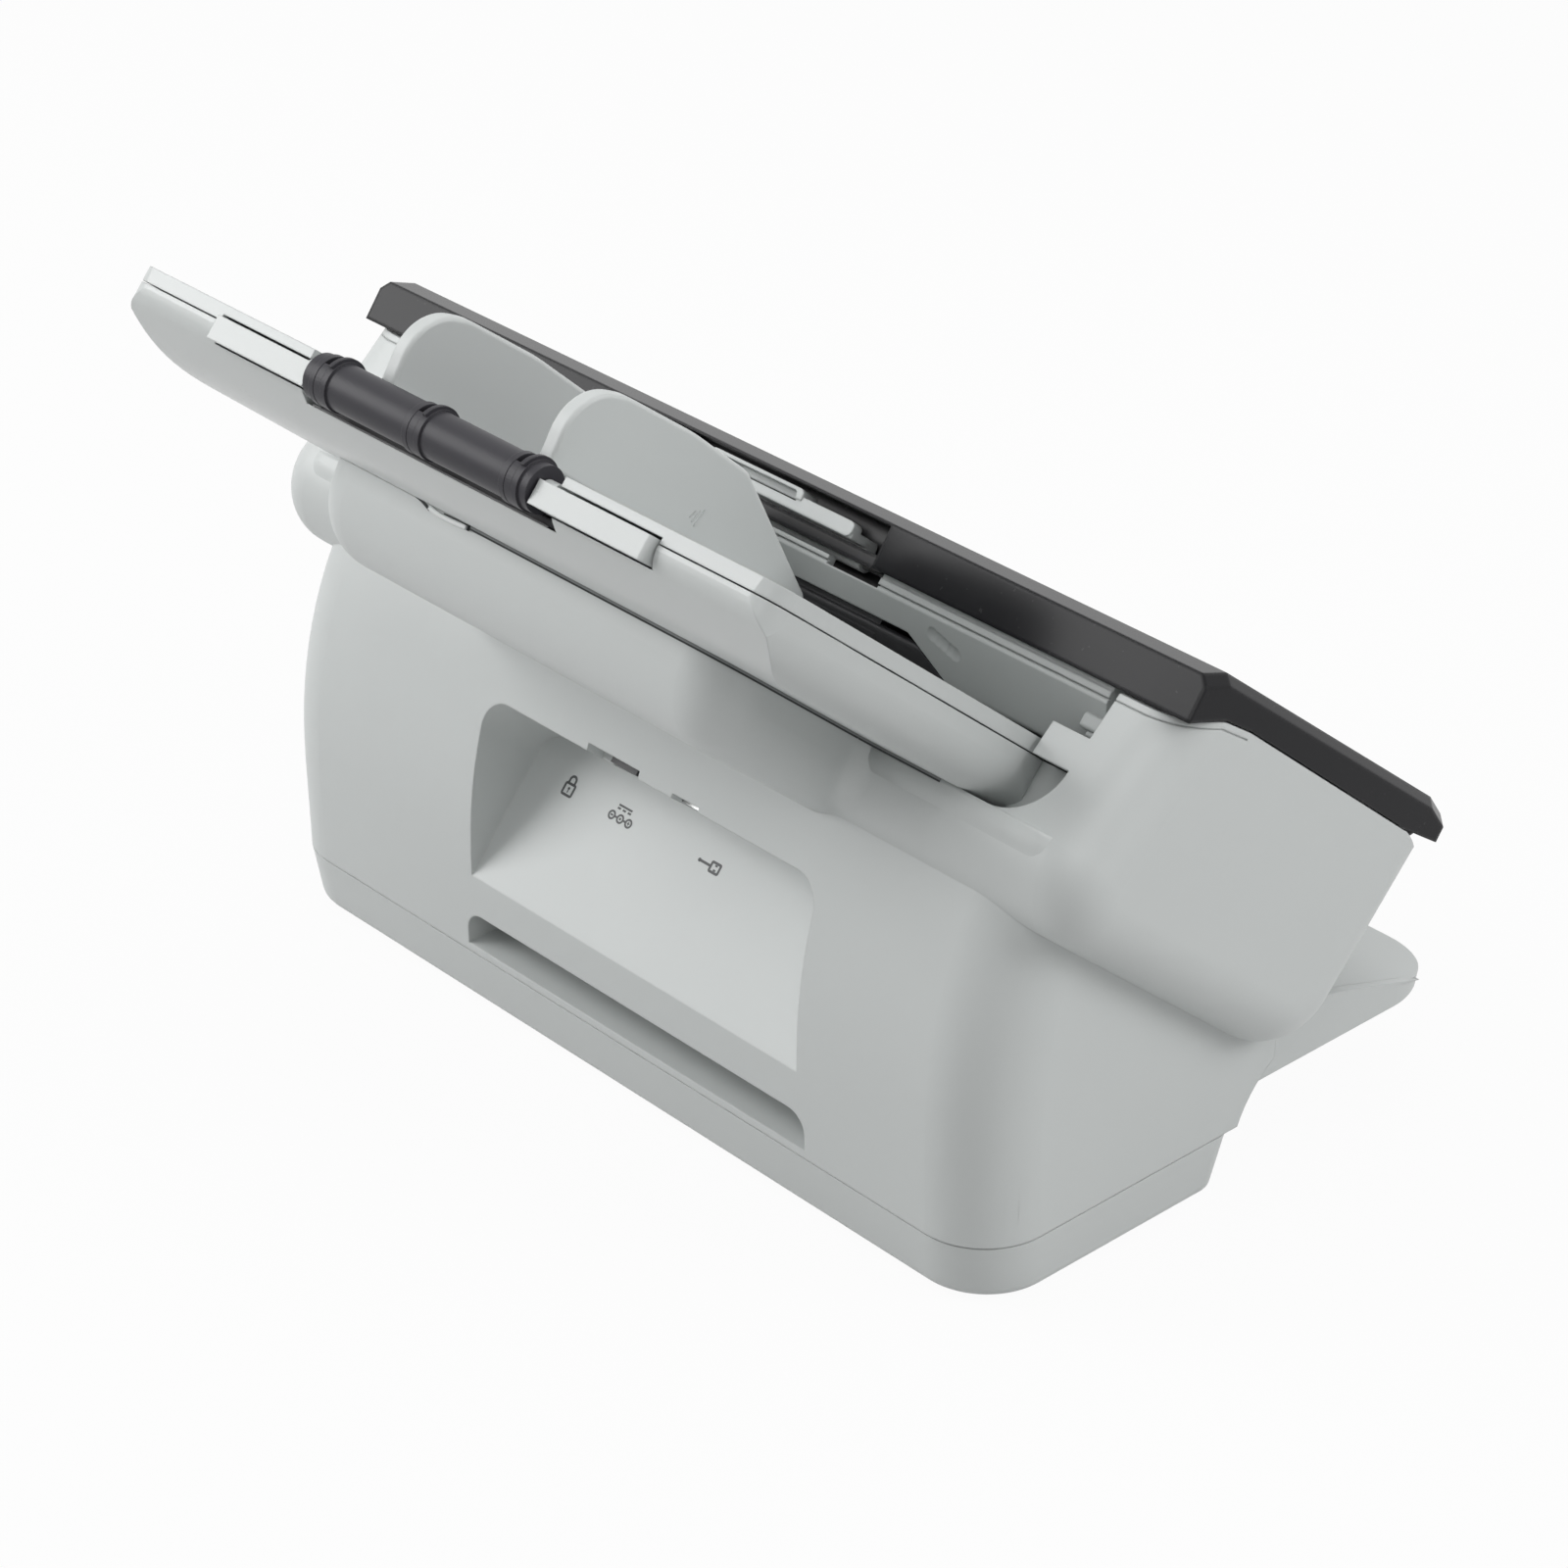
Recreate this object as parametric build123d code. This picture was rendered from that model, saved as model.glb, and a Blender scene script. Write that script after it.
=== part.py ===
from build123d import *
import math
import os

# A sheet-fed document scanner with an inclined paper path, in millimetres, +Z up.
# The origin is the middle of the base's flat underside. The front faces -Y.
# Everything on the inclined body is drawn in path coordinates: x across, s up along
# the paper path and n out of it, both counted from the base's lower rear edge.

# Inclined body
path_angle = 40.0
body_width = 310.0
wall = 2.6
body_bottom = 89.5
panel_rise = 24.9
front_edge_drop = 1.9
body_front = -51.2
body_front_lean = 3.6
body_rear = 73.4
body_rear_lean = 8.6
rear_edge_drop = 6.7
side_roll = 14.0
front_roll = 20.0
rear_roll = 18.0

# Foot and base
base_side_step = 14.4
base_depth = 84.0
base_height = 16.4
base_flare = 2.4
base_front_flare = 4.5
base_corner = 20.0
base_front_corner = 7.0
base_wall = 2.6
base_edge = 3.0
seam = 0.3
lip_height = 4.0
base_side_flare = 1.2
lip_thickness = 1.6
lip_gap = 0.15
foot_radius = 7.0
foot_height = 1.5
foot_side_inset = 36.0
foot_end_inset = 11.0
foot_stem_radius = 2.5
foot_stem = 3.4
front_brow = 101.4
front_brow_height = 32.0
rear_bow = 2.8
rear_top_lean = 9.5
rear_top_height = 104.0

# Tray support bulge
bulge_width = 156.0
bulge_reach = 129.0
bulge_roll = 20.0
bulge_blend = 6.0

# Door bay and paper pocket
bay_side_step = 21.5
path_level = 130.0
pocket_front = 50.0
pocket_corner = 15.0
bay_wall = 2.4
stop_block_rise = 9.0
stop_block_drop = 4.0
stop_block_depth = 4.0
rim_line_drop = 1.7
rim_line_width = 0.35

# Socket recess and storage slot in the rear wall
recess_left = 54.0
recess_right = 74.5
recess_face = 29.0
recess_roof = 75.0
recess_wall = 2.4
recess_corner = 8.0
slot_left = 57.0
slot_right = 77.0
slot_bottom = 19.0
slot_top = 29.5
slot_depth = 24.0
slot_corner = 6.0

# Running parts
frame_thickness = 2.0
frame_side_gap = 3.3
shaft_radius = 3.0
running_gap = 0.06
sleeve_radius = 5.0
flange_radius = 6.4
flange_thickness = 1.2
tyre_gap = 0.3
tyre_proud = 0.8
pick_s = 38.0
feed_s = 12.0
exit_s = -34.0
sensor_s = -10.5
pick_radius = 10.0
feed_radius = 8.0
separation_radius = 9.0
pinch_radius = 5.0
pinch_axle_radius = 1.5
tyre_width = 20.0
inner_tyre_x = 32.0
outer_tyre_x = 92.0
pick_tyre_width = 22.0
pick_tyre_x = 20.0
separation_width = 32.0
pick_tyre_wall = 3.0
feed_tyre_wall = 2.4
lever_x = 62.0
lever_s = 26.0
lever_drop = 10.0

# Gears and belt
gear_module = 1.0
feed_teeth = 20
pick_teeth = 28
idler_teeth = 16
motor_teeth = 12
motor_angle = 242.0
motor_backlash = 0.1
gear_side_gap = 1.1
gear_width = 5.0
pulley_radius = 7.0
pulley_side_gap = 2.0
pulley_width = 5.0
belt_thickness = 1.2
belt_gap = 0.15
tooth_share = 0.435
addendum = 0.9
dedendum = 1.25
pressure_slope = 0.364

# Motor
motor_size = 20.0
motor_length = 17.0
motor_shaft_radius = 2.0

# Image sensors
sensor_side_gap = 18.2
sensor_depth = 14.0
sensor_height = 13.0
glass_overlap = 4.0
glass_depth = 17.0
glass_thickness = 1.9

# Main board and the sockets in the recess roof
board_level = 91.0
board_thickness = 1.6
power_socket_x = 4.0
data_socket_x = -24.0
lock_x = 26.0
socket_s = 46.0

# Front door
hinge_s = -50.5
hinge_rise = 2.6
hinge_pin_radius = 1.5
hinge_ear_radius = 3.0
hinge_side_inset = 13.5
hinge_ear_width = 5.0
hinge_lug_width = 3.5
door_gap = 0.4
cover_wall = 2.2
cover_front_rise = 10.9
cover_rear_rise = 9.2
cover_rear_s = 57.3
cover_front_s = -44.6
cover_bevel = 2.6
paper_gap = 1.6
panel_side_gap = 4.0
panel_wall = 2.2
panel_front = -47.0
panel_entry = 50.0
panel_rear = 62.0
panel_rear_drop = 10.1
panel_lip = 0.4
dimple_x = 70.5
peg_width = 5.6
module_rise = 7.2
lever_recess_width = 96.0
recess_drop = 3.8
band_step_x = 32.0
lever_width = 74.0
lever_bar_drop = 10.9
lever_bar_height = 4.0
grip_width = 35.0
grip_height = 1.8
lever_pivot_s = 54.0
lever_pivot_drop = 4.9
lever_barrel_radius = 2.6
latch_shaft_radius = 1.6
hook_thickness = 2.4
module_width = 150.0
module_top_width = 122.0
module_front = 25.5

# Control panel, placed on the cover's top
window_x = 20.0
window_s = 0.0
window_width = 74.0
window_height = 42.0
window_corner = 3.0
window_seat = 1.3
control_board_depth = 5.3
start_inset = 93.0
stop_inset = 63.0
power_inset = 29.0
rocker_x = 78.0
button_s = 0.0
start_radius = 9.0
stop_radius = 7.0
power_radius = 6.0
rocker_width = 9.0
rocker_length = 26.0
button_gap = 0.35
button_proud = 0.7
button_travel = 0.8

# Input tray
tray_side_gap = 13.5
tray_foot = 50.0
tray_end = 174.0
tray_rise = 0.5
tray_depth = 19.5
tray_joint_drop = 4.0
tray_plate_skin = 2.5
tray_shell_wall = 2.2
tray_foot_corner = 16.0
tray_end_corner = 7.0
tray_side_roll = 11.0

# Tray extension and its flip piece
extension_side_gap = 38.0
extension_drop = 9.5
extension_thickness = 2.5
extension_start = 70.0
extension_overhang = 2.5
extension_cap_drop = 3.2
flip_width = 84.0
flip_barrel_radius = 6.0
flip_collar_radius = 6.5
flip_axis_inset = 1.5
flip_axis_drop = 5.0
flip_arm_width = 48.0
flip_arm_start = 108.0
flip_arm_thickness = 2.4
flip_pin_radius = 1.5

# Paper guides
guide_inner = 27.0
guide_thickness = 5.0
guide_start = 62.5
guide_end_inset = 7.2
guide_height = 25.1
guide_clearance = 0.3
guide_foot_width = 10.0
guide_foot_thickness = 1.8
guide_end_room = 9.0
rack_line = 82.0
rack_teeth_radius = 14.0
rack_drop = 6.3
rack_thickness = 3.2
rack_back = 3.6

# Output tray
out_angle = 11.5
out_side_step = 0.6
out_reach = 71.5
out_thickness = 8.0
out_tongue = 14.0
out_level = 42.9
out_underside = 26.4
out_corner = 22.0
out_rim_start = 13.5
out_rim_full = 45.5
out_rim_end = 9.0
out_rim_rise = 3.0
out_rim_width = 2.5
out_channel_margin = 7.0
out_channel_depth = 5.8
out_extension_width = 110.0
out_extension_thickness = 3.6
out_extension_start = 68.0
out_stop_width = 46.0
out_stop_length = 20.0
stop_pin_radius = 0.8

# Screws
screw_radius = 1.5
screw_head_radius = 3.0
screw_head = 1.8
post_radius = 4.0
post_inset = 14.0

# Derived values
half_body = body_width / 2
half_base = half_body - base_side_step
half_bay = half_body - bay_side_step
half_tray = half_bay - tray_side_gap
half_panel = half_bay - panel_side_gap
half_extension = half_tray - extension_side_gap
half_out = half_base - out_side_step
frame_inner = half_bay - frame_side_gap
half_sensor = frame_inner - sensor_side_gap
half_glass = half_sensor + glass_overlap
gear_inner = half_bay + bay_wall + gear_side_gap
pulley_inner = gear_inner + gear_width + pulley_side_gap
hinge_ear_x = half_body - hinge_side_inset
start_x = start_inset - half_body
stop_x = stop_inset - half_body
power_x = power_inset - half_body
panel_top = path_level + panel_rise
panel_top_front = panel_top - front_edge_drop
rear_panel_top = panel_top - rear_edge_drop
panel_level = path_level + paper_gap
panel_rear_level = panel_top - panel_rear_drop
hinge_level = panel_top + hinge_rise
cover_front_level = panel_top + cover_front_rise
cover_rear_level = panel_top + cover_rear_rise
lever_pivot_level = panel_top - lever_pivot_drop
lever_level = path_level - lever_drop
tray_top = path_level + tray_rise
tray_bottom = tray_top - tray_depth
tray_joint = tray_top - tray_joint_drop
extension_level = tray_top - extension_drop
extension_end = tray_end + extension_overhang
extension_cap_top = tray_top - extension_cap_drop
flip_axis_s = tray_end - flip_axis_inset
flip_axis_level = tray_top - flip_axis_drop
guide_end = tray_end - guide_end_inset
guide_top = tray_top + guide_height
guide_travel = half_tray - guide_inner - guide_thickness - guide_end_room
rack_level = tray_top - rack_drop
pick_spots = [-pick_tyre_x, pick_tyre_x]
pick_hub = pick_radius - pick_tyre_wall
feed_hub = feed_radius - feed_tyre_wall
gear_outer = gear_inner + gear_width
pulley_outer = pulley_inner + pulley_width
rear_y = base_depth / 2
wall_y = rear_y - front_brow
sin_path = math.sin(math.radians(path_angle))
cos_path = math.cos(math.radians(path_angle))
path_plane = Plane(origin=(0, rear_y, 0), x_dir=(1, 0, 0), z_dir=(0, -sin_path, cos_path))
out_slope = math.radians(out_angle)
out_plane = Plane(
    origin=(0, rear_y - front_brow, out_level),
    x_dir=(1, 0, 0),
    z_dir=(0, -math.sin(out_slope), math.cos(out_slope)),
)
plate_top = path_level
pocket_floor = tray_bottom
tyre_top = path_level + tyre_proud
pick_n = tyre_top - pick_radius
feed_n = tyre_top - feed_radius
pinch_n = tyre_top + tyre_gap + pinch_radius
separation_n = tyre_top + tyre_gap + separation_radius
low = (Align.MIN, Align.MIN, Align.MIN)
stand = (Align.CENTER, Align.CENTER, Align.MIN)


# Shared drawing helpers
def block(x0, x1, y0, y1, z0, z1):
    return Pos(x0, y0, z0) * Box(x1 - x0, y1 - y0, z1 - z0, align=low)


def rod(x0, x1, s, n, radius):
    return Pos(x0, s, n) * Rot(0, 90, 0) * Cylinder(radius, x1 - x0, align=stand)


def peg(x, y, z0, z1, radius):
    return Pos(x, y, z0) * Cylinder(radius, z1 - z0, align=stand)


def outline(corners):
    # A closed face through the corners; a third value rounds that corner.
    places = [Vector(c[0], c[1]) for c in corners]
    radii = [c[2] if len(c) > 2 else 0.0 for c in corners]
    count = len(places)
    enters = []
    leaves = []
    middles = []
    for i in range(count):
        here = places[i]
        back = (places[i - 1] - here).normalized()
        ahead = (places[(i + 1) % count] - here).normalized()
        half = math.radians(back.get_angle(ahead)) / 2
        reach = radii[i] / math.tan(half)
        enters.append(here + back * reach)
        leaves.append(here + ahead * reach)
        bisector = (back + ahead).normalized()
        middles.append(here + bisector * (radii[i] / math.sin(half) - radii[i]))
    edges = []
    for i in range(count):
        if radii[i] > 0:
            edges.append(ThreePointArc(enters[i], middles[i], leaves[i]))
        edges.append(Line(leaves[i], enters[(i + 1) % count]))
    return make_face(edges)


def across(corners, x0, x1):
    face = Plane.YZ.offset(x0) * outline(corners)
    return extrude(face, amount=x1 - x0, dir=(1, 0, 0))


def upward(corners, z0, z1):
    face = Pos(0, 0, z0) * outline(corners)
    return extrude(face, amount=z1 - z0, dir=(0, 0, 1))


def along(corners, y0, y1):
    # Corners are (x, z); the shape runs along +y.
    face = Plane.XZ.offset(-y0) * outline(corners)
    return extrude(face, amount=y1 - y0, dir=(0, 1, 0))


def both_sides(shape):
    return shape + mirror(shape, Plane.YZ)


def on_path(shape):
    return path_plane.location * shape


def on_out(shape):
    return out_plane.location * shape


def write(name, shape):
    export_step(shape, "parts/" + name + ".step")


# Outer forms of the main housing, each drawn again with an inset for its inside
def body_form(inset):
    front_low = body_front + inset
    rear_low = body_rear - inset
    bottom = body_bottom + inset
    top = panel_top - inset
    lean = body_front_lean
    corners = [
        (front_low, bottom, front_roll - inset),
        (rear_low, bottom, rear_roll - inset),
        (rear_low - body_rear_lean, rear_panel_top - inset),
        (rear_low - body_rear_lean - 13.0, top - 1.0, 8.0),
        (rear_low - body_rear_lean - 24.0, top),
        (body_front + 12.0, top),
        (body_front + 5.0, panel_top_front - inset),
        (front_low - lean, panel_top_front - inset),
    ]
    half = half_body - inset
    solid = across(corners, -half, half)
    roll_edges = []
    for edge in solid.edges():
        middle = edge.position_at(0.5)
        on_side = abs(abs(middle.X) - half) < 0.01
        if on_side and abs(middle.Z - bottom) < 0.01:
            roll_edges.append(edge)
    return fillet(roll_edges, side_roll - inset)


def bulge_form(inset):
    bottom = body_bottom + inset
    reach = bulge_reach - inset
    top = tray_bottom - inset
    corners = [
        (pocket_front, bottom),
        (reach - 4.0, bottom, bulge_roll - inset),
        (reach, top),
        (pocket_front, top),
    ]
    half = bulge_width / 2 - inset
    solid = across(corners, -half, half)
    roll_edges = []
    for edge in solid.edges():
        middle = edge.position_at(0.5)
        on_side = abs(abs(middle.X) - half) < 0.01
        if on_side and abs(middle.Z - bottom) < 0.01:
            roll_edges.append(edge)
    return fillet(roll_edges, side_roll - inset)


def inclined_form():
    # The inclined body with its tray support, softened where the two meet.
    body = body_form(0.0)
    bulge = bulge_form(0.0)
    joined = body + bulge
    meeting_edges = []
    for edge in joined.edges():
        middle = edge.position_at(0.5)
        to_body = min(face.distance_to(middle) for face in body.faces())
        to_bulge = min(face.distance_to(middle) for face in bulge.faces())
        if max(to_body, to_bulge) < 0.01:
            meeting_edges.append(edge)
    return fillet(meeting_edges, bulge_blend)


def rear_profile(inset):
    # The rear wall's gentle bow, from the seam to under the inclined body.
    return [
        (rear_y + base_flare - inset, base_height + seam),
        (rear_y + rear_bow - inset, base_height + 20.0),
        (rear_y + rear_bow - 0.3 - inset, base_height + 42.0),
        (rear_y - 1.3 - inset, base_height + 65.6),
        (rear_y - rear_top_lean - inset, rear_top_height),
        (rear_y - rear_top_lean - 12.0 - inset, rear_top_height + 18.0),
    ]


def foot_form(inset):
    rear = rear_profile(inset)
    front = rear_y - base_depth
    brow = rear_y - front_brow + inset
    wave = Spline(*[Vector(p[0], p[1]) for p in rear])
    seam_z = base_height + seam
    top_inside = Vector(brow, front_brow_height + 22.0)
    rest = [
        Line(wave @ 1, top_inside),
        Line(top_inside, Vector(brow, front_brow_height)),
        Spline(
            Vector(brow, front_brow_height),
            Vector(front - 8.7 + inset, seam_z + 7.5),
            Vector(front - base_front_flare + inset, seam_z),
        ),
        Line(Vector(front - base_front_flare + inset, seam_z), wave @ 0),
    ]
    face = Plane.YZ.offset(-half_base + inset) * make_face([wave] + rest)
    solid = extrude(face, amount=2 * half_base - 2 * inset, dir=(1, 0, 0))
    corner_edges = []
    for edge in solid.edges():
        middle = edge.position_at(0.5)
        on_side = abs(abs(middle.X) - half_base + inset) < 0.01
        if on_side and middle.Y > rear_y - 14.0 and edge.length > 60:
            corner_edges.append(edge)
    return fillet(corner_edges, base_corner - inset)


def base_corners(height, inset):
    # The base's plan at a height, wider towards its top.
    share = height / base_height
    x = half_base - base_side_flare * (1 - share) - inset
    rear = rear_y + base_flare * share - inset
    front = rear_y - base_depth - base_front_flare * share + inset
    front_corner = max(base_front_corner - inset, 1.0)
    return [
        (-x, front, front_corner),
        (x, front, front_corner),
        (x, rear, base_corner - inset),
        (-x, rear, base_corner - inset),
    ]


def recess_form(grow):
    # The socket recess, square to the paper path, grown outwards for its walls.
    corner = recess_corner + grow
    corners = [
        (-recess_right - grow, 20.0),
        (recess_left + grow, 20.0),
        (recess_left + grow, recess_roof + grow, corner),
        (-recess_right - grow, recess_roof + grow, corner),
    ]
    return on_path(along(corners, recess_face - grow, recess_face + 60.0))


def slot_form(grow):
    corners = [
        (-slot_right - grow, slot_bottom - grow),
        (slot_left + grow, slot_bottom - grow),
        (slot_left + grow, slot_top + grow, slot_corner),
        (-slot_right - grow, slot_top + grow, slot_corner),
    ]
    return along(corners, rear_y - slot_depth - grow, rear_y + 12.0)


def bay_form():
    corners = [
        (body_front - 30.0, plate_top - 2.0),
        (pocket_front - 2.0, plate_top - 2.0),
        (pocket_front - 2.0, pocket_floor),
        (body_rear + 20.0, pocket_floor),
        (body_rear + 20.0, panel_top + 30.0),
        (body_front - 30.0, panel_top + 30.0),
    ]
    return across(corners, -half_bay, half_bay)


def bay_side_wall():
    rear_top_s = body_rear - body_rear_lean
    corners = [
        (body_front - 1.0, plate_top - 4.0),
        (pocket_front - 4.0, plate_top - 4.0),
        (pocket_front - 4.0, pocket_floor - bay_wall),
        (body_rear - 3.0, pocket_floor - bay_wall),
        (rear_top_s, rear_panel_top - 0.5),
        (rear_top_s - 13.0, panel_top - 1.5),
        (body_front + 6.0, panel_top - 1.5),
        (body_front + 1.0, panel_top_front - 0.5),
    ]
    return across(corners, half_bay, half_bay + bay_wall)


def pocket_corner_fill():
    # Rounds the pocket's lower corners around the tray's own rounding.
    far = half_bay + bay_wall
    square = across([
        (pocket_front - 4.0, pocket_floor - bay_wall),
        (body_rear + 5.0, pocket_floor - bay_wall),
        (body_rear + 5.0, pocket_floor + pocket_corner),
        (pocket_front - 4.0, pocket_floor + pocket_corner),
    ], half_bay - pocket_corner, far)
    round_cut = Pos(half_bay - pocket_corner, 0, pocket_floor + pocket_corner) * Rot(90, 0, 0)
    round_cut = round_cut * Cylinder(pocket_corner, 2 * body_width)
    return (square - round_cut) & body_form(0.0)


def stop_block():
    # Beside the tray, flush with the rear wall.
    inner = half_tray + 1.5
    level = tray_top - stop_block_drop
    rear_s = body_rear - body_rear_lean
    form = block(inner, half_bay + bay_wall, rear_s - stop_block_depth, body_rear + 5.0, level,
                 level + stop_block_rise)
    return form & body_form(0.0)


def rim_line():
    # A fine line across the body's rear, just under its top rim.
    depth = 0.4
    start = body_rear - body_rear_lean - 24.0
    cuts = None
    for drop in (rim_line_drop, rim_line_drop + rim_line_width):
        band = across([
            (start, panel_top - drop),
            (body_rear - body_rear_lean - 13.0, panel_top - 1.0 - drop),
            (body_rear - body_rear_lean, rear_panel_top - drop),
            (body_rear + 20.0, rear_panel_top - drop),
            (body_rear + 20.0, path_level),
            (start, path_level),
        ], -half_body - 5.0, half_body + 5.0)
        cuts = band if cuts is None else cuts - band
    return cuts - body_form(depth)


def pocket_floor_wall():
    return block(-half_bay - bay_wall, half_bay + bay_wall, pocket_front - 4.0,
                 body_rear - 2.0, pocket_floor - bay_wall, pocket_floor)


def hinge_ear():
    half = hinge_ear_width / 2
    foot = panel_top_front - wall
    ear = rod(hinge_ear_x - half, hinge_ear_x + half, hinge_s, hinge_level, hinge_ear_radius)
    neck = block(hinge_ear_x - half, hinge_ear_x + half, hinge_s - hinge_ear_radius,
                 hinge_s + hinge_ear_radius, foot, hinge_level)
    hole = rod(hinge_ear_x - half, hinge_ear_x + half, hinge_s, hinge_level,
               hinge_pin_radius + running_gap)
    return ear + neck - hole


def post_places():
    x = half_base - post_inset
    front = rear_y - base_depth + post_inset - 2.0
    rear = rear_y - post_inset + 2.0
    return [(-x, front), (x, front), (-x, rear), (x, rear)]


def screw_posts():
    # Posts that take the base screws, tied to the side walls by ribs.
    posts = None
    for x, y in post_places():
        side = 1 if x > 0 else -1
        edge = side * (half_base - 1.0)
        post = peg(x, y, base_height - 6.0, base_height + 36.0, post_radius)
        rib = block(min(x, edge), max(x, edge), y - 1.0, y + 1.0, base_height + 8.0,
                    base_height + 36.0)
        bore = peg(x, y, base_height - 6.0, base_height + 8.0, screw_radius)
        piece = post + rib - bore
        posts = piece if posts is None else posts + piece
    return posts


def make_main_housing():
    outer = foot_form(0.0) + on_path(inclined_form())
    inner = foot_form(wall) + on_path(body_form(wall) + bulge_form(wall))
    opening = upward(base_corners(base_height, wall), base_height - 2.0, base_height + 4.0)
    shell = outer - inner - opening
    pockets = outer & (recess_form(recess_wall) + slot_form(recess_wall))
    side_walls = on_path(both_sides(bay_side_wall()) + pocket_floor_wall())
    shell = shell + pockets + side_walls
    shell = shell - recess_form(0.0) - slot_form(0.0) - on_path(bay_form()) - socket_cuts()
    shell = shell + on_path(both_sides(pocket_corner_fill() + stop_block())) - on_path(rim_line())
    shell = shell + on_path(both_sides(hinge_ear())) + screw_posts()
    shell = shell + frame_bosses(4.0, half_bay + 1.0)
    shell = shell - frame_bosses(screw_radius, half_bay + bay_wall + 1.0)
    shell = shell + on_path(latch_keeper()) - output_slot()
    return shell


# Base, feet and their screws
def base_form(inset, bottom):
    lower = Pos(0, 0, bottom) * outline(base_corners(bottom, inset))
    upper = Pos(0, 0, base_height) * outline(base_corners(base_height, inset))
    return loft([lower, upper], ruled=True)


def lip_ring(inset, z0, z1):
    outer = upward(base_corners(base_height, inset), z0, z1)
    inner = upward(base_corners(base_height, base_wall + lip_gap + lip_thickness), z0, z1)
    return outer - inner


def foot_places():
    x = half_base - foot_side_inset
    y = rear_y - foot_end_inset
    return [(-x, -y), (x, -y), (-x, y), (x, y)]


def make_base_cover():
    outer = base_form(0.0, 0.0)
    bottom_edges = outer.faces().sort_by(Axis.Z)[0].edges()
    outer = fillet(bottom_edges, base_edge)
    cover = outer - base_form(base_wall, base_wall)
    cover = cover + lip_ring(base_wall - 0.2, base_height - lip_height, base_height)
    lip = lip_ring(base_wall + lip_gap, base_height, base_height + lip_height)
    lip = lip - block(-slot_right - recess_wall - 1.0, slot_left + recess_wall + 1.0,
                      rear_y - 12.0, rear_y + 12.0, base_height, base_height + lip_height)
    cover = cover + lip
    boss_top = base_height - 6.0 - seam
    for x, y in post_places():
        cover = cover + peg(x, y, 0.5, boss_top, post_radius + 0.6)
        cover = cover - peg(x, y, 0.0, boss_top, screw_radius + 0.15)
        cover = cover - peg(x, y, -0.1, screw_head + 0.8, screw_head_radius + 0.3)
    for x, y in foot_places():
        cover = cover - peg(x, y, -0.1, base_wall + 0.1, foot_stem_radius)
    return cover


def make_rubber_feet():
    feet = []
    for x, y in foot_places():
        pad = peg(x, y, -foot_height, 0.0, foot_radius)
        pad = fillet(pad.faces().sort_by(Axis.Z)[0].edges(), 0.5)
        feet.append(pad + peg(x, y, 0.0, foot_stem, foot_stem_radius - 0.05))
    return Compound(children=feet)


def screw_up(x, y, z, length):
    # A pan-head screw whose head bears on a face at z and whose shank points up.
    head = peg(x, y, z - screw_head, z, screw_head_radius)
    cross = block(x - 1.6, x + 1.6, y - 0.3, y + 0.3, z - screw_head, z - screw_head + 0.8)
    cross = cross + block(x - 0.3, x + 0.3, y - 1.6, y + 1.6, z - screw_head, z - screw_head + 0.8)
    return head - cross + peg(x, y, z, z + length, screw_radius - 0.05)


def make_base_screws():
    screws = []
    for x, y in post_places():
        screws.append(screw_up(x, y, screw_head + 0.8, 16.0))
    return Compound(children=screws)


# Side frames, with the guide plate and sensor between them
def shaft_places():
    return [(pick_s, pick_n), (feed_s, feed_n), (exit_s, feed_n)]


def frame_tabs():
    return [(-24.0, path_level + 4.0), (24.0, path_level + 4.0)]


def idler_place():
    # The idler meshes with the feed gear and the pick gear, below the line between them.
    span_s = pick_s - feed_s
    span_n = pick_n - feed_n
    span = math.hypot(span_s, span_n)
    reach_feed = gear_module * (feed_teeth + idler_teeth) / 2
    reach_pick = gear_module * (pick_teeth + idler_teeth) / 2
    along_line = (span * span + reach_feed ** 2 - reach_pick ** 2) / (2 * span)
    drop = math.sqrt(reach_feed ** 2 - along_line ** 2)
    unit_s = span_s / span
    unit_n = span_n / span
    return feed_s + unit_s * along_line + unit_n * drop, feed_n + unit_n * along_line - unit_s * drop


def motor_place():
    reach = gear_module * (feed_teeth + motor_teeth) / 2 + motor_backlash
    turn = math.radians(motor_angle)
    return feed_s + reach * math.cos(turn), feed_n + reach * math.sin(turn)


def side_frame(x0, x1, is_gear_side):
    motor_s, motor_n = motor_place()
    reach = motor_size / 2 + 2.0
    plate = across([
        (exit_s - 12.0, plate_top - 1.0, 2.0),
        (exit_s - 12.0, feed_n - 12.0, 6.0),
        (motor_s - reach - 4.0, feed_n - 12.0, 6.0),
        (motor_s - reach, motor_n - reach, 4.0),
        (idler_place()[0] + 4.0, motor_n - reach, 4.0),
        (pick_s + 7.5, pick_n - 12.0, 5.0),
        (pick_s + 7.5, plate_top - 1.0, 2.0),
    ], x0, x1)
    for s, n in frame_tabs():
        plate = plate + across([
            (s - 5.0, n - 8.0),
            (s + 5.0, n - 8.0),
            (s + 5.0, n + 5.0, 4.0),
            (s - 5.0, n + 5.0, 4.0),
        ], x0, x1)
        plate = plate - rod(x0, x1, s, n, screw_radius + 0.1)
    for s, n in shaft_places():
        plate = plate - rod(x0, x1, s, n, sleeve_radius)
    if is_gear_side:
        plate = plate - rod(x0, x1, motor_s, motor_n, motor_shaft_radius + 2.0)
    return on_path(plate)


def make_side_frame_left():
    return side_frame(-frame_inner - frame_thickness, -frame_inner, True)


def make_side_frame_right():
    return side_frame(frame_inner, frame_inner + frame_thickness, False)


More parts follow.
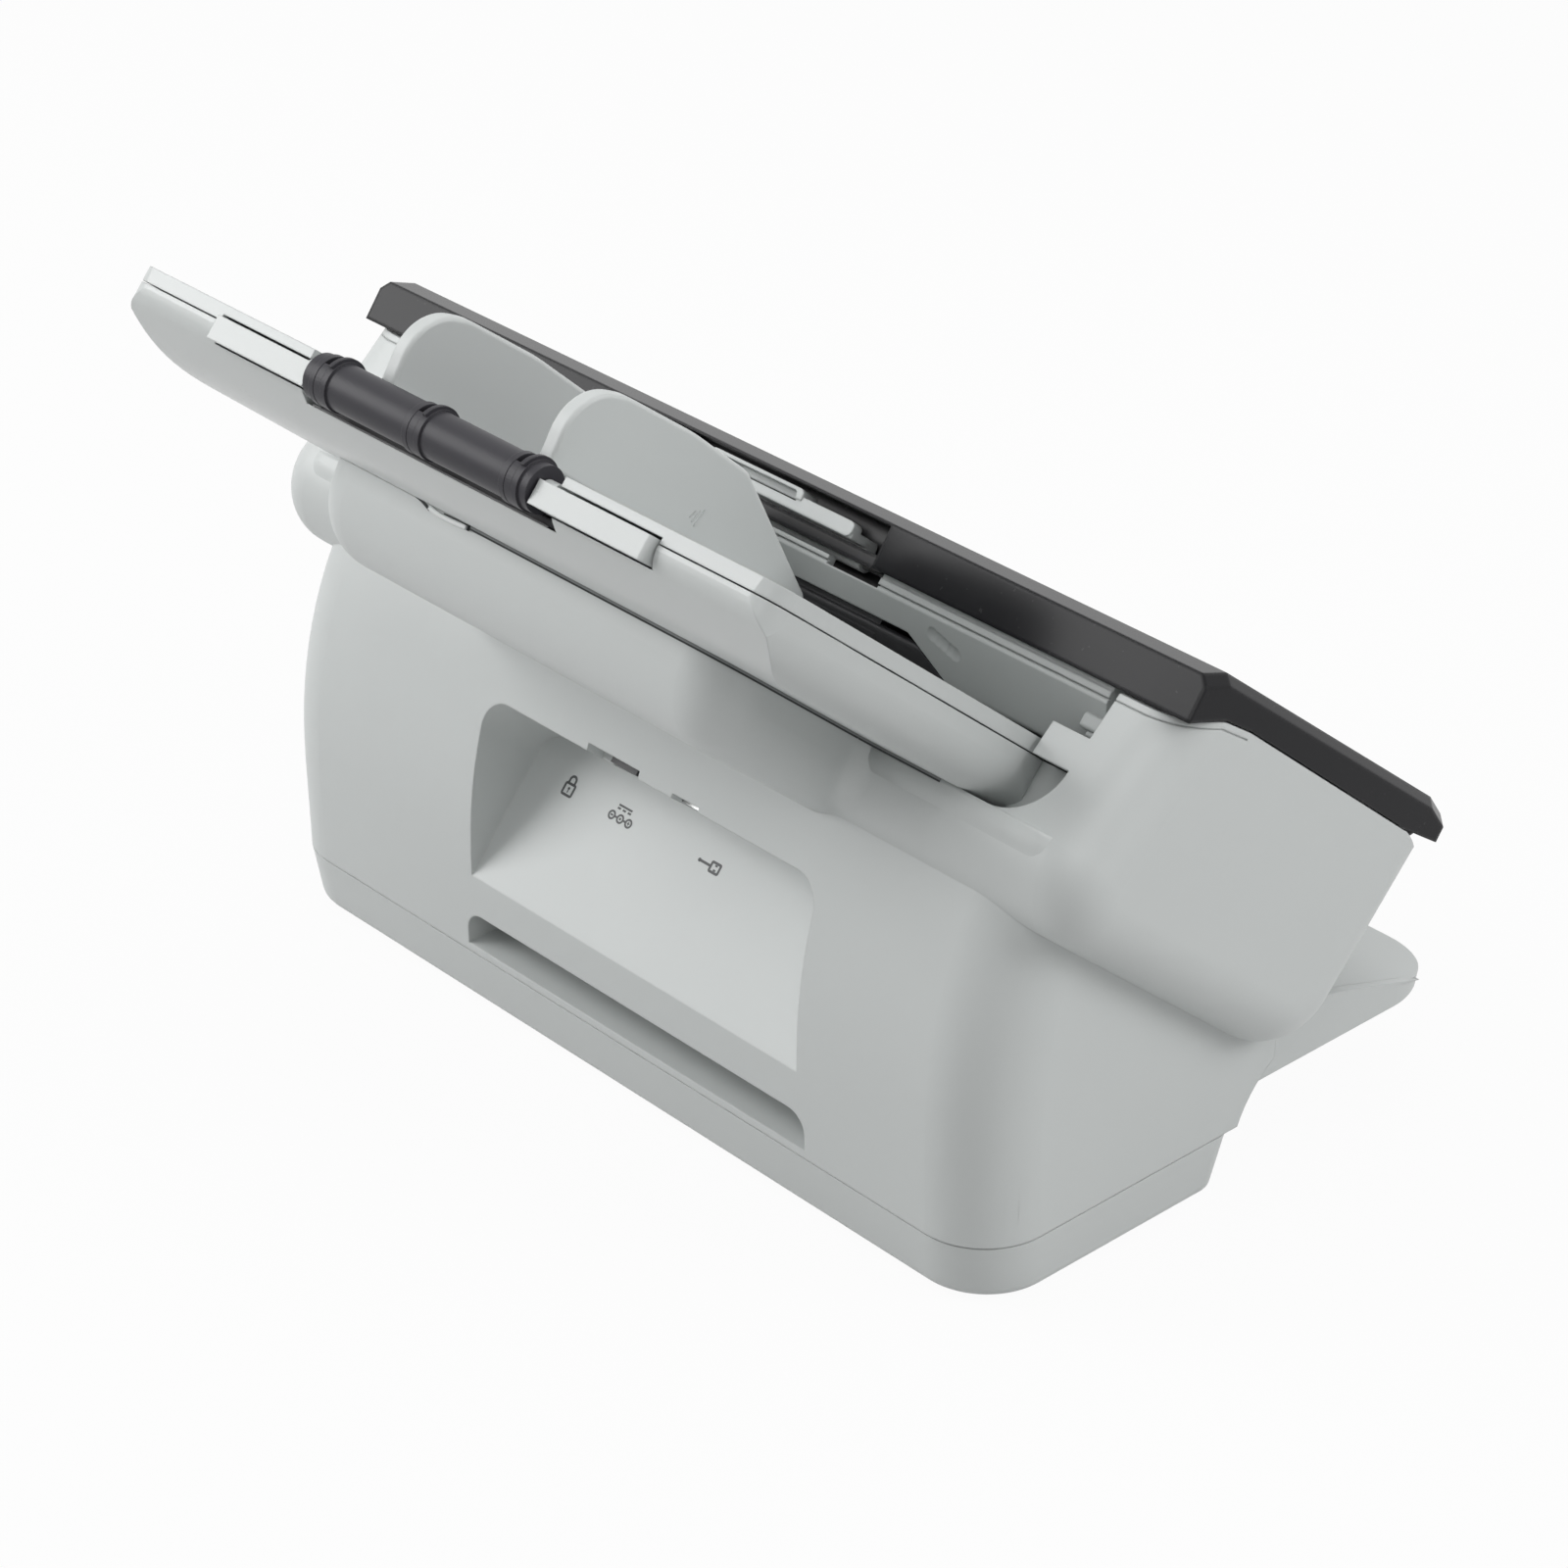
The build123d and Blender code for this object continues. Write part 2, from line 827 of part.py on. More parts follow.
def frame_bosses(radius, x1):
    # Bosses on the bay's side walls that the frames are screwed to, or their bores.
    bosses = None
    for s, n in frame_tabs():
        boss = rod(frame_inner + frame_thickness, x1, s, n, radius)
        bosses = boss if bosses is None else bosses + boss
    return on_path(both_sides(bosses))


def make_frame_screws():
    screws = []
    for s, n in frame_tabs():
        for side in (-1, 1):
            shank = rod(frame_inner, half_bay + bay_wall, s, n, screw_radius - 0.05)
            screw = shank - rod(frame_inner, frame_inner + 0.8, s, n, 0.7)
            if side < 0:
                screw = mirror(screw, Plane.YZ)
            screws.append(on_path(screw))
    return Compound(children=screws)


def make_shaft_bushings():
    sleeves = []
    for s, n in shaft_places():
        for side in (-1, 1):
            outer = frame_inner + frame_thickness
            sleeve = rod(frame_inner, outer, s, n, sleeve_radius - 0.02)
            sleeve = sleeve + rod(outer, outer + flange_thickness, s, n, flange_radius)
            sleeve = sleeve - rod(frame_inner, outer + flange_thickness, s, n,
                                  shaft_radius + running_gap)
            if side < 0:
                sleeve = mirror(sleeve, Plane.YZ)
            sleeves.append(on_path(sleeve))
    return Compound(children=sleeves)


def tyre_spots():
    return [-outer_tyre_x, -inner_tyre_x, inner_tyre_x, outer_tyre_x]


def tyre_window(x, s, width, reach, n0, n1):
    return block(x - width / 2 - 1.0, x + width / 2 + 1.0, s - reach, s + reach, n0, n1)


def make_lower_guide():
    under = plate_top - 3.5
    front = body_front + wall
    plate = block(-frame_inner, frame_inner, front, tray_foot - 0.6, under, plate_top)
    plate = plate + block(-frame_inner, frame_inner, front - wall - 1.2, front, plate_top - 1.7,
                          plate_top)
    plate = fillet(plate.edges().filter_by(Axis.X).sort_by(Axis.Y)[0:2], 0.7)
    for s in (feed_s, exit_s):
        for x in tyre_spots():
            plate = plate - tyre_window(x, s, tyre_width, feed_radius + 0.6, under, plate_top)
    for x in (-pick_tyre_x, pick_tyre_x):
        plate = plate - tyre_window(x, pick_s, pick_tyre_width, pick_radius + 0.6, under, plate_top)
    plate = plate - block(-half_glass - 0.2, half_glass + 0.2,
                          sensor_s - glass_depth / 2 - 0.2, sensor_s + glass_depth / 2 + 0.2,
                          under, plate_top)
    plate = plate - lever_window()
    return on_path(plate)


def sensor_bar(n0, n1, ear_n0, ear_n1, reach):
    bar = block(-half_sensor, half_sensor, sensor_s - sensor_depth / 2,
                sensor_s + sensor_depth / 2, n0, n1)
    ears = block(-reach, reach, sensor_s - 3.0, sensor_s + 3.0, ear_n0, ear_n1)
    return on_path(bar + ears)


def make_lower_sensor():
    top = plate_top - 0.1 - glass_thickness
    return sensor_bar(top - sensor_height, top, top - 12.0, top - 7.0, frame_inner)


def sensor_glass(n0):
    return on_path(block(-half_glass, half_glass, sensor_s - glass_depth / 2,
                         sensor_s + glass_depth / 2, n0, n0 + glass_thickness))


def make_lower_glass():
    return sensor_glass(plate_top - 0.1 - glass_thickness)


# Roller shafts, their hubs and their rubber tyres
def roller_shaft(s, n, x_left, spots, width, hub_radius):
    shaft = rod(x_left, frame_inner + frame_thickness + 2.0, s, n, shaft_radius)
    for x in spots:
        shaft = shaft + rod(x - width / 2, x + width / 2, s, n, hub_radius)
    return on_path(shaft)


def roller_tyres(s, n, spots, width, hub_radius, radius):
    tyres = []
    for x in spots:
        tyre = rod(x - width / 2, x + width / 2, s, n, radius)
        tyre = tyre - rod(x - width / 2, x + width / 2, s, n, hub_radius)
        tyres.append(on_path(tyre))
    return Compound(children=tyres)


def make_pick_shaft():
    return roller_shaft(pick_s, pick_n, -gear_outer - 1.0, pick_spots, pick_tyre_width, pick_hub)


def make_pick_tyres():
    return roller_tyres(pick_s, pick_n, pick_spots, pick_tyre_width, pick_hub, pick_radius)


def make_feed_shaft():
    return roller_shaft(feed_s, feed_n, -pulley_outer - 1.0, tyre_spots(), tyre_width, feed_hub)


def make_feed_tyres():
    return roller_tyres(feed_s, feed_n, tyre_spots(), tyre_width, feed_hub, feed_radius)


def make_exit_shaft():
    return roller_shaft(exit_s, feed_n, -pulley_outer - 1.0, tyre_spots(), tyre_width, feed_hub)


def make_exit_tyres():
    return roller_tyres(exit_s, feed_n, tyre_spots(), tyre_width, feed_hub, feed_radius)


# Gears, pulleys and belt on the left side frame
def gear_face(teeth, phase):
    # Straight-flanked teeth, a little thinner than half the pitch for backlash.
    pitch_radius = gear_module * teeth / 2
    root = pitch_radius - dedendum * gear_module
    tip = pitch_radius + addendum * gear_module
    half_pitch_tooth = tooth_share * math.pi * gear_module / 2
    half_root = (half_pitch_tooth + dedendum * gear_module * pressure_slope) / root
    half_tip = (half_pitch_tooth - addendum * gear_module * pressure_slope) / tip
    points = []
    for i in range(teeth):
        middle = math.radians(phase) + 2 * math.pi * i / teeth
        for radius, turn in ((root, -half_root), (tip, -half_tip), (tip, half_tip), (root, half_root)):
            points.append((radius * math.cos(middle + turn), radius * math.sin(middle + turn)))
    return outline(points)


def mesh_phase(angle, phase, teeth, other_teeth):
    # The other gear's phase, so that its gap meets this gear's tooth.
    return angle + 180.0 + 180.0 / other_teeth + (angle - phase) * teeth / other_teeth


def path_gear(teeth, phase, x0, x1, s, n):
    face = Plane.YZ.offset(x0) * Pos(s, n, 0) * gear_face(teeth, phase)
    return extrude(face, amount=x1 - x0, dir=(1, 0, 0))


def angle_to(s0, n0, s1, n1):
    return math.degrees(math.atan2(n1 - n0, s1 - s0))


def idler_phase():
    # The feed gear starts with a tooth along +s, which sets its neighbours' phases.
    s, n = idler_place()
    return mesh_phase(angle_to(feed_s, feed_n, s, n), 0.0, feed_teeth, idler_teeth)


def pulley(s, n):
    rim = pulley_radius + belt_thickness + 0.8
    wheel = rod(-pulley_outer, -pulley_inner, s, n, pulley_radius)
    wheel = wheel + rod(-pulley_outer - 0.8, -pulley_outer, s, n, rim)
    return wheel + rod(-pulley_inner, -pulley_inner + 0.8, s, n, rim)


def make_feed_gear():
    gear = path_gear(feed_teeth, 0.0, -gear_outer, -gear_inner, feed_s, feed_n)
    gear = gear + rod(-pulley_inner, -gear_outer, feed_s, feed_n, pulley_radius - 1.0)
    gear = gear + pulley(feed_s, feed_n)
    return on_path(gear - rod(-pulley_outer - 2.0, -gear_inner, feed_s, feed_n, shaft_radius))


def make_exit_pulley():
    wheel = pulley(exit_s, feed_n)
    return on_path(wheel - rod(-pulley_outer - 2.0, -gear_inner, exit_s, feed_n, shaft_radius))


def make_pick_gear():
    s, n = idler_place()
    phase = mesh_phase(angle_to(s, n, pick_s, pick_n), idler_phase(), idler_teeth, pick_teeth)
    gear = path_gear(pick_teeth, phase, -gear_outer, -gear_inner, pick_s, pick_n)
    return on_path(gear - rod(-gear_outer, -gear_inner, pick_s, pick_n, shaft_radius))


def make_idler_gear():
    s, n = idler_place()
    gear = path_gear(idler_teeth, idler_phase(), -gear_outer, -gear_inner, s, n)
    return on_path(gear - rod(-gear_outer, -gear_inner, s, n, motor_shaft_radius + running_gap))


def make_idler_pin():
    s, n = idler_place()
    pin = rod(-gear_outer - 2.0, -frame_inner - frame_thickness, s, n, motor_shaft_radius)
    pin = pin + rod(-gear_outer - 2.0, -gear_outer - 0.3, s, n, motor_shaft_radius + 1.6)
    return on_path(pin + rod(-gear_inner + 0.3, -frame_inner - frame_thickness, s, n, 4.0))


def belt_loop(grow):
    # Two half circles round the pulleys, joined by straight runs.
    radius = pulley_radius + belt_gap + grow
    run = rod(-pulley_outer + 0.3, -pulley_inner - 0.3, feed_s, feed_n, radius)
    run = run + rod(-pulley_outer + 0.3, -pulley_inner - 0.3, exit_s, feed_n, radius)
    return run + block(-pulley_outer + 0.3, -pulley_inner - 0.3, exit_s, feed_s,
                       feed_n - radius, feed_n + radius)


def make_drive_belt():
    return on_path(belt_loop(belt_thickness) - belt_loop(0.0))


def make_drive_motor():
    s, n = motor_place()
    half = motor_size / 2
    body = across([
        (s - half, n - half, 3.0),
        (s + half, n - half, 3.0),
        (s + half, n + half, 3.0),
        (s - half, n + half, 3.0),
    ], -frame_inner, -frame_inner + motor_length)
    body = body + rod(-frame_inner - frame_thickness, -frame_inner, s, n, motor_shaft_radius + 1.9)
    return on_path(body - rod(-frame_inner - 3.0, -frame_inner + 16.0, s, n,
                              motor_shaft_radius + running_gap))


def make_motor_pinion():
    s, n = motor_place()
    phase = mesh_phase(motor_angle, 0.0, feed_teeth, motor_teeth)
    pinion = path_gear(motor_teeth, phase, -gear_outer, -gear_inner, s, n)
    return on_path(pinion + rod(-gear_outer - 0.6, -frame_inner + 15.0, s, n, motor_shaft_radius))


# Paper sensor lever beside the feed roller
def lever_window():
    return block(lever_x - 2.2, lever_x + 2.2, lever_s - 9.0, lever_s + 4.0, plate_top - 6.0,
                 plate_top + 1.0)


def make_sensor_lever():
    hub = rod(lever_x - 4.0, lever_x + 4.0, lever_s, lever_level, 3.0)
    arm = across([
        (lever_s - 1.6, lever_level),
        (lever_s + 1.6, lever_level),
        (lever_s + 1.6, plate_top + 1.1, 1.4),
        (lever_s - 1.6, plate_top + 1.1, 1.4),
    ], lever_x - 1.2, lever_x + 1.2)
    return on_path(hub + arm - rod(lever_x - 4.0, lever_x + 4.0, lever_s, lever_level, 1.5 + running_gap))


def make_sensor_bracket():
    # A pin held by two ears that hang from the guide plate.
    under = plate_top - 3.5
    pin = rod(lever_x - 8.0, lever_x + 8.0, lever_s, lever_level, 1.5)
    ears = block(lever_x - 8.0, lever_x - 5.5, lever_s - 3.0, lever_s + 3.0, lever_level - 3.0, under)
    ears = ears + block(lever_x + 5.5, lever_x + 8.0, lever_s - 3.0, lever_s + 3.0, lever_level - 3.0,
                        under)
    return on_path(pin + ears)


# Main board and the sockets in the recess roof
def make_main_board():
    board = block(-recess_right + 6.0, recess_left - 4.0, recess_face - 23.0, socket_s + 10.0,
                  board_level, board_level + board_thickness)
    floor = recess_roof + recess_wall
    for x in (-recess_right + 12.0, recess_left - 10.0):
        for s in (recess_face + 6.0, socket_s + 6.0):
            board = board + peg(x, s, floor, board_level, 2.6)
    chip_x = -recess_right + 14.5
    chip_s = recess_face - 15.0
    chip = block(chip_x, chip_x + 16.0, chip_s, chip_s + 16.0, board_level + board_thickness,
                 board_level + 3.4)
    memory = block(data_socket_x - 6.0, data_socket_x + 6.0, chip_s, chip_s + 12.0,
                   board_level + board_thickness, board_level + 3.0)
    return on_path(board + chip + memory)


def socket_opening(x, width, depth):
    return block(x - width / 2, x + width / 2, socket_s - depth / 2, socket_s + depth / 2,
                 recess_roof - 1.0, recess_roof + recess_wall + 1.0)


def socket_cuts():
    cuts = socket_opening(power_socket_x, 10.4, 12.4)
    cuts = cuts + socket_opening(data_socket_x, 13.4, 12.4)
    cuts = cuts + socket_opening(lock_x, 9.4, 5.4)
    lip = block(power_socket_x - 10.0, power_socket_x + 10.0, socket_s + 4.0, socket_s + 30.0,
                recess_roof - 3.0, recess_roof + 2.0)
    lip = lip + block(data_socket_x - 5.0, data_socket_x + 5.0, socket_s + 4.0, socket_s + 30.0,
                      recess_roof - 3.0, recess_roof + 1.2)
    return on_path(cuts + lip)


def make_power_inlet():
    body = block(power_socket_x - 5.0, power_socket_x + 5.0, socket_s - 6.0, socket_s + 6.0,
                 recess_roof + 0.4, board_level)
    bore = peg(power_socket_x, socket_s, recess_roof, recess_roof + 11.0, 2.9)
    pin = peg(power_socket_x, socket_s, recess_roof + 1.0, recess_roof + 11.5, 1.0)
    return on_path(body - bore + pin)


def make_data_port():
    half = 6.5
    body = block(data_socket_x - half, data_socket_x + half, socket_s - 6.0, socket_s + 6.0,
                 recess_roof + 0.4, board_level)
    mouth = block(data_socket_x - half + 1.6, data_socket_x + half - 1.6, socket_s - 4.4,
                  socket_s + 4.4, recess_roof, recess_roof + 9.0)
    tongue = block(data_socket_x - 3.0, data_socket_x + 3.0, socket_s - 1.6, socket_s + 1.6,
                   recess_roof + 1.4, recess_roof + 9.2)
    return on_path(body - mouth + tongue)


def make_lock_plate():
    plate = block(lock_x - 9.0, lock_x + 9.0, socket_s - 6.0, socket_s + 6.0,
                  recess_roof + recess_wall, recess_roof + recess_wall + 1.5)
    slot = block(lock_x - 3.5, lock_x + 3.5, socket_s - 1.5, socket_s + 1.5,
                 recess_roof + recess_wall - 0.5, recess_roof + recess_wall + 2.0)
    return on_path(plate - slot)


# Front door: the black cover with its inner panel
def cover_outline(inset):
    # The cover's section; the inset one is its hollow, open below.
    rear_s = body_rear - body_rear_lean
    if inset > 0:
        return [
            (rear_s - inset, path_level),
            (rear_s + 0.8 - inset, cover_rear_level - 3.2 - inset * 0.75),
            (cover_rear_s - 0.4, cover_rear_level - inset),
            (cover_front_s + 0.3, cover_front_level - inset),
            (cover_front_s - 7.8 + inset, cover_front_level - 2.2 - inset * 0.75),
            (cover_front_s - 8.2 + inset, path_level),
        ]
    return [
        (rear_s, rear_panel_top + door_gap + 0.4),
        (rear_s + 0.8, cover_rear_level - 3.2),
        (cover_rear_s, cover_rear_level),
        (cover_front_s, cover_front_level),
        (cover_front_s - 7.8, cover_front_level - 2.2),
        (cover_front_s - 8.2, panel_top_front + 3.6),
        (cover_front_s - 1.0, panel_top + door_gap + 0.6),
        (cover_front_s + 6.0, panel_top + door_gap),
        (rear_s - 24.0, panel_top + door_gap),
        (rear_s - 13.0, panel_top + door_gap - 1.0, 8.0),
    ]


def cover_shell():
    half = half_body - cover_wall
    outer = across(cover_outline(0.0), -half_body, half_body)
    top_edges = []
    for edge in outer.edges():
        middle = edge.position_at(0.5)
        if abs(abs(middle.X) - half_body) < 0.01 and middle.Z > cover_rear_level - 2.5:
            top_edges.append(edge)
    outer = chamfer(top_edges, cover_bevel)
    return outer - across(cover_outline(cover_wall), -half, half)


def lid_plane():
    slope = math.atan2(cover_front_level - cover_rear_level, cover_rear_s - cover_front_s)
    middle_n = cover_front_level + (cover_rear_level - cover_front_level) * (0.0 - cover_front_s) / (
        cover_rear_s - cover_front_s)
    return Plane(origin=(0, 0, middle_n), x_dir=(1, 0, 0),
                 z_dir=(0, math.sin(slope), math.cos(slope)))


lid = lid_plane()


def on_lid(shape):
    return path_plane.location * (lid.location * shape)


def tile(x, y, width, length, corner, z0, z1):
    return upward([
        (x - width / 2, y - length / 2, corner),
        (x + width / 2, y - length / 2, corner),
        (x + width / 2, y + length / 2, corner),
        (x - width / 2, y + length / 2, corner),
    ], z0, z1)


def lid_openings():
    top = 2.0
    under = -cover_wall - 1.0
    cuts = peg(start_x, button_s, under, top, start_radius + button_gap)
    cuts = cuts + peg(stop_x, button_s, under, top, stop_radius + button_gap)
    cuts = cuts + peg(power_x, button_s, under, top, power_radius + button_gap)
    slot_width = rocker_width + 2 * button_gap
    cuts = cuts + tile(rocker_x, button_s, slot_width, rocker_length + 3 * button_gap,
                       slot_width / 2 - 0.01, under, top)
    cuts = cuts + tile(window_x, window_s, window_width, window_height, window_corner,
                       -window_seat, top)
    cuts = cuts + tile(window_x, window_s, window_width - 6.0, window_height - 6.0, 1.5, under, top)
    return lid.location * cuts


def lever_recess():
    half = lever_recess_width / 2
    rear = body_rear
    return block(-half, half, body_rear - body_rear_lean - 4.0, rear, path_level + 10.0,
                 cover_rear_level - recess_drop)


def lever_recess_walls():
    half = lever_recess_width / 2
    front = lever_pivot_s - 6.0
    rear = body_rear - body_rear_lean - cover_wall
    roof = cover_rear_level - 1.4
    recess_top = cover_rear_level - recess_drop
    walls = block(-half - 2.0, half + 2.0, front, front + 1.8, panel_top - 3.0, roof)
    side = block(half, half + 2.0, front + 0.9, rear, panel_top - 6.0, recess_top)
    screen = block(-half - 1.0, half + 1.0, lever_pivot_s + 3.4, lever_pivot_s + 5.2,
                   panel_top - 6.0, lever_pivot_level + 2.6)
    return walls + both_sides(side) + screen


def hinge_lugs():
    lugs = None
    gap = 0.3
    for x0 in (hinge_ear_x - hinge_ear_width / 2 - gap - hinge_lug_width,
               hinge_ear_x + hinge_ear_width / 2 + gap):
        x1 = x0 + hinge_lug_width
        lug = rod(x0, x1, hinge_s, hinge_level, 2.7)
        lug = lug + block(x0, x1, hinge_s - 2.0, hinge_s + 2.7, hinge_level,
                          cover_front_level - cover_wall - 0.6)
        lugs = lug if lugs is None else lugs + lug
    return both_sides(lugs)


def hinge_ear_slot():
    half = hinge_ear_width / 2 + 0.4
    slot = block(hinge_ear_x - half, hinge_ear_x + half, hinge_s - 12.0,
                 hinge_s + hinge_ear_radius + 0.6, panel_top - 6.0,
                 hinge_level + hinge_ear_radius + 0.6)
    return both_sides(slot)


def board_posts():
    posts = None
    for x in (power_x + 14.0, window_x + window_width / 2 + 3.0):
        for y in (-18.0, 18.0):
            post = peg(x, y, -control_board_depth, -cover_wall + 0.2, 2.2)
            posts = post if posts is None else posts + post
    return lid.location * posts


def make_front_cover():
    cover = cover_shell() + lever_recess_walls() - lever_recess() - lid_openings()
    cover = cover + board_posts() - hinge_ear_slot() + hinge_lugs()
    reach = hinge_ear_width / 2 + 0.3 + hinge_lug_width
    bores = both_sides(rod(hinge_ear_x - reach, hinge_ear_x + reach, hinge_s, hinge_level,
                           hinge_pin_radius))
    bores = bores + rod(-lever_recess_width, lever_recess_width, lever_pivot_s, lever_pivot_level,
                        latch_shaft_radius + running_gap)
    return on_path(cover - bores)


def make_hinge_pins():
    gap = 0.3
    reach = hinge_ear_width / 2 + gap + hinge_lug_width
    pin = rod(hinge_ear_x - reach, hinge_ear_x + reach, hinge_s, hinge_level, hinge_pin_radius - 0.01)
    other = mirror(pin, Plane.YZ)
    return Compound(children=[on_path(pin), on_path(other)])


def make_display_window():
    gap = 0.12
    glass = tile(window_x, window_s, window_width - 2 * gap, window_height - 2 * gap,
                 window_corner - gap, -window_seat, -0.05)
    return on_lid(glass)


def button_cap(x, radius):
    skin = cover_wall + 0.25
    cap = peg(x, button_s, -skin - 1.1, button_proud, radius)
    cap = fillet(cap.faces().sort_by(Axis.Z)[-1].edges(), 0.5)
    return on_lid(cap + peg(x, button_s, -skin - 1.1, -skin, radius + 1.2))


def make_start_button():
    return button_cap(start_x, start_radius)


def make_stop_button():
    return button_cap(stop_x, stop_radius)


def make_power_button():
    return button_cap(power_x, power_radius)


def make_scroll_rocker():
    cap = tile(rocker_x, button_s, rocker_width, rocker_length, rocker_width / 2 - 0.01, -3.0,
               button_proud)
    cap = fillet(cap.faces().sort_by(Axis.Z)[-1].edges(), 0.5)
    axle = rod(rocker_x - rocker_width / 2 - 2.0, rocker_x + rocker_width / 2 + 2.0, button_s,
               -cover_wall - 1.6, 1.2)
    return on_lid(cap + axle)


def make_control_board():
    # Switch tops stand just under the buttons, one travel away.
    board = block(power_x - 8.0, rocker_x + 14.0, -24.0, 24.0, -control_board_depth - 1.6,
                  -control_board_depth)
    screen_x = window_width / 2 - 5.0
    screen_s = window_height / 2 - 5.0
    board = board + block(window_x - screen_x, window_x + screen_x, -screen_s, screen_s,
                          -control_board_depth, -window_seat - 0.15)
    switch_top = -cover_wall - 0.25 - 1.1 - button_travel - 0.1
    for x in (start_x, stop_x, power_x):
        board = board + peg(x, button_s, -control_board_depth, switch_top, 2.5)
    for y in (-9.0, 9.0):
        board = board + peg(rocker_x, y, -control_board_depth, switch_top - 0.3, 2.0)
    for x in (rocker_x - 8.5, rocker_x + 6.0):
        cheek = block(x, x + 2.5, -2.6, 2.6, -control_board_depth, -cover_wall - 0.3)
        cheek = cheek - rod(x, x + 2.5, button_s, -cover_wall - 1.6, 1.2 + running_gap)
        board = board + cheek
    return on_lid(board)


def panel_outline(inset):
    if inset > 0:
        return [
            (panel_front + inset, panel_level + inset),
            (panel_entry - 1.0, panel_level + inset),
            (panel_rear - 3.2, panel_rear_level - 0.9),
            (panel_rear - 2.8, panel_rear_level - 0.4),
            (panel_rear - 2.8, panel_top + 10.0),
            (panel_front + inset, panel_top + 10.0),
        ]
    return [
        (panel_front, panel_level, 2.0),
        (panel_entry, panel_level, 3.0),
        (panel_rear, panel_rear_level),
        (panel_rear, panel_rear_level + 1.1),
        (panel_rear - 0.8, panel_rear_level + 1.1),
        (panel_rear - 0.8, panel_rear_level + 1.5),
        (panel_rear + panel_lip, panel_rear_level + 1.5),
        (panel_rear + panel_lip, panel_rear_level + 3.2),
        (panel_rear, panel_rear_level + 3.2),
        (panel_rear, panel_top + 0.2),
        (panel_front, panel_top + 0.2),
    ]


def make_inner_panel():
    panel = across(panel_outline(0.0), -half_panel, half_panel)
    panel = panel - across(panel_outline(panel_wall), -half_panel + panel_wall,
                           half_panel - panel_wall)
    low_n = panel_level - 1.0
    floor_n = panel_level + panel_wall + 1.0
    for s in (feed_s, exit_s):
        for x in tyre_spots():
            panel = panel - block(x - tyre_width / 2 - 1.0, x + tyre_width / 2 + 1.0,
                                  s - pinch_radius - 0.6, s + pinch_radius + 0.6, low_n, floor_n)
        panel = panel - rod(-half_panel, half_panel, s, pinch_n, pinch_axle_radius + running_gap)
    panel = panel - block(-half_glass - 0.2, half_glass + 0.2,
                          sensor_s - glass_depth / 2 - 0.2, sensor_s + glass_depth / 2 + 0.2,
                          low_n, floor_n)
    side = lever_recess_width / 2 + 2.4
    band_top = panel_rear_level + 2.6
    panel = panel - block(-side, side, lever_pivot_s - 6.4, panel_rear + 1.0, band_top,
                          panel_top + 1.0)
    panel = panel - both_sides(block(band_step_x, side, lever_pivot_s - 2.0, panel_rear + 1.0,
                                     band_top - 2.2, panel_top + 1.0))
    panel = panel - along(module_corners(0.4), module_front, panel_rear + 1.0)
    panel = panel - rod(-half_panel, half_panel, lever_pivot_s, lever_pivot_level,
                        latch_shaft_radius + running_gap)
    panel = panel - both_sides(panel_dimple()) + both_sides(panel_peg())
    return on_path(panel)


def module_corners(gap):
    # The outline of the roller module in the panel, drawn in (x, n).
    low_half = module_width / 2 + gap
    top_half = module_top_width / 2 + gap
    top = panel_level + module_rise + gap
    return [(-low_half, panel_level - 1.0), (low_half, panel_level - 1.0), (low_half, panel_level + 0.6),
            (top_half, top), (-top_half, top), (-low_half, panel_level + 0.6)]


def panel_dimple():
    # A shallow slanting dimple in the panel's rear face.
    dimple = None
    for share in (0.0, 0.25, 0.5, 0.75, 1.0):
        ball = Pos(dimple_x + 7.6 * share, panel_rear - 1.6 - 1.6 * share,
                   panel_level + 8.2 - 1.8 * share) * Sphere(3.0)
        dimple = ball if dimple is None else dimple + ball
    return dimple


def panel_peg():
    # A short peg at the panel's end, over the housing's stop block.
    x = half_panel - peg_width
    level = panel_level + 5.8
    base = block(x, half_panel, panel_entry + 5.0, panel_rear - 1.6, level, level + 4.0)
    base = fillet(base.edges().filter_by(Axis.X), 1.0)
    return base + rod(x + 2.0, half_panel, panel_entry + 8.0, level - 0.7, 1.0)


def make_upper_sensor():
    base = panel_level + 0.1 + glass_thickness
    return sensor_bar(base, base + sensor_height, base + 5.0, base + 10.0,
                      half_panel - panel_wall)


def make_upper_glass():
    return sensor_glass(panel_level + 0.1)


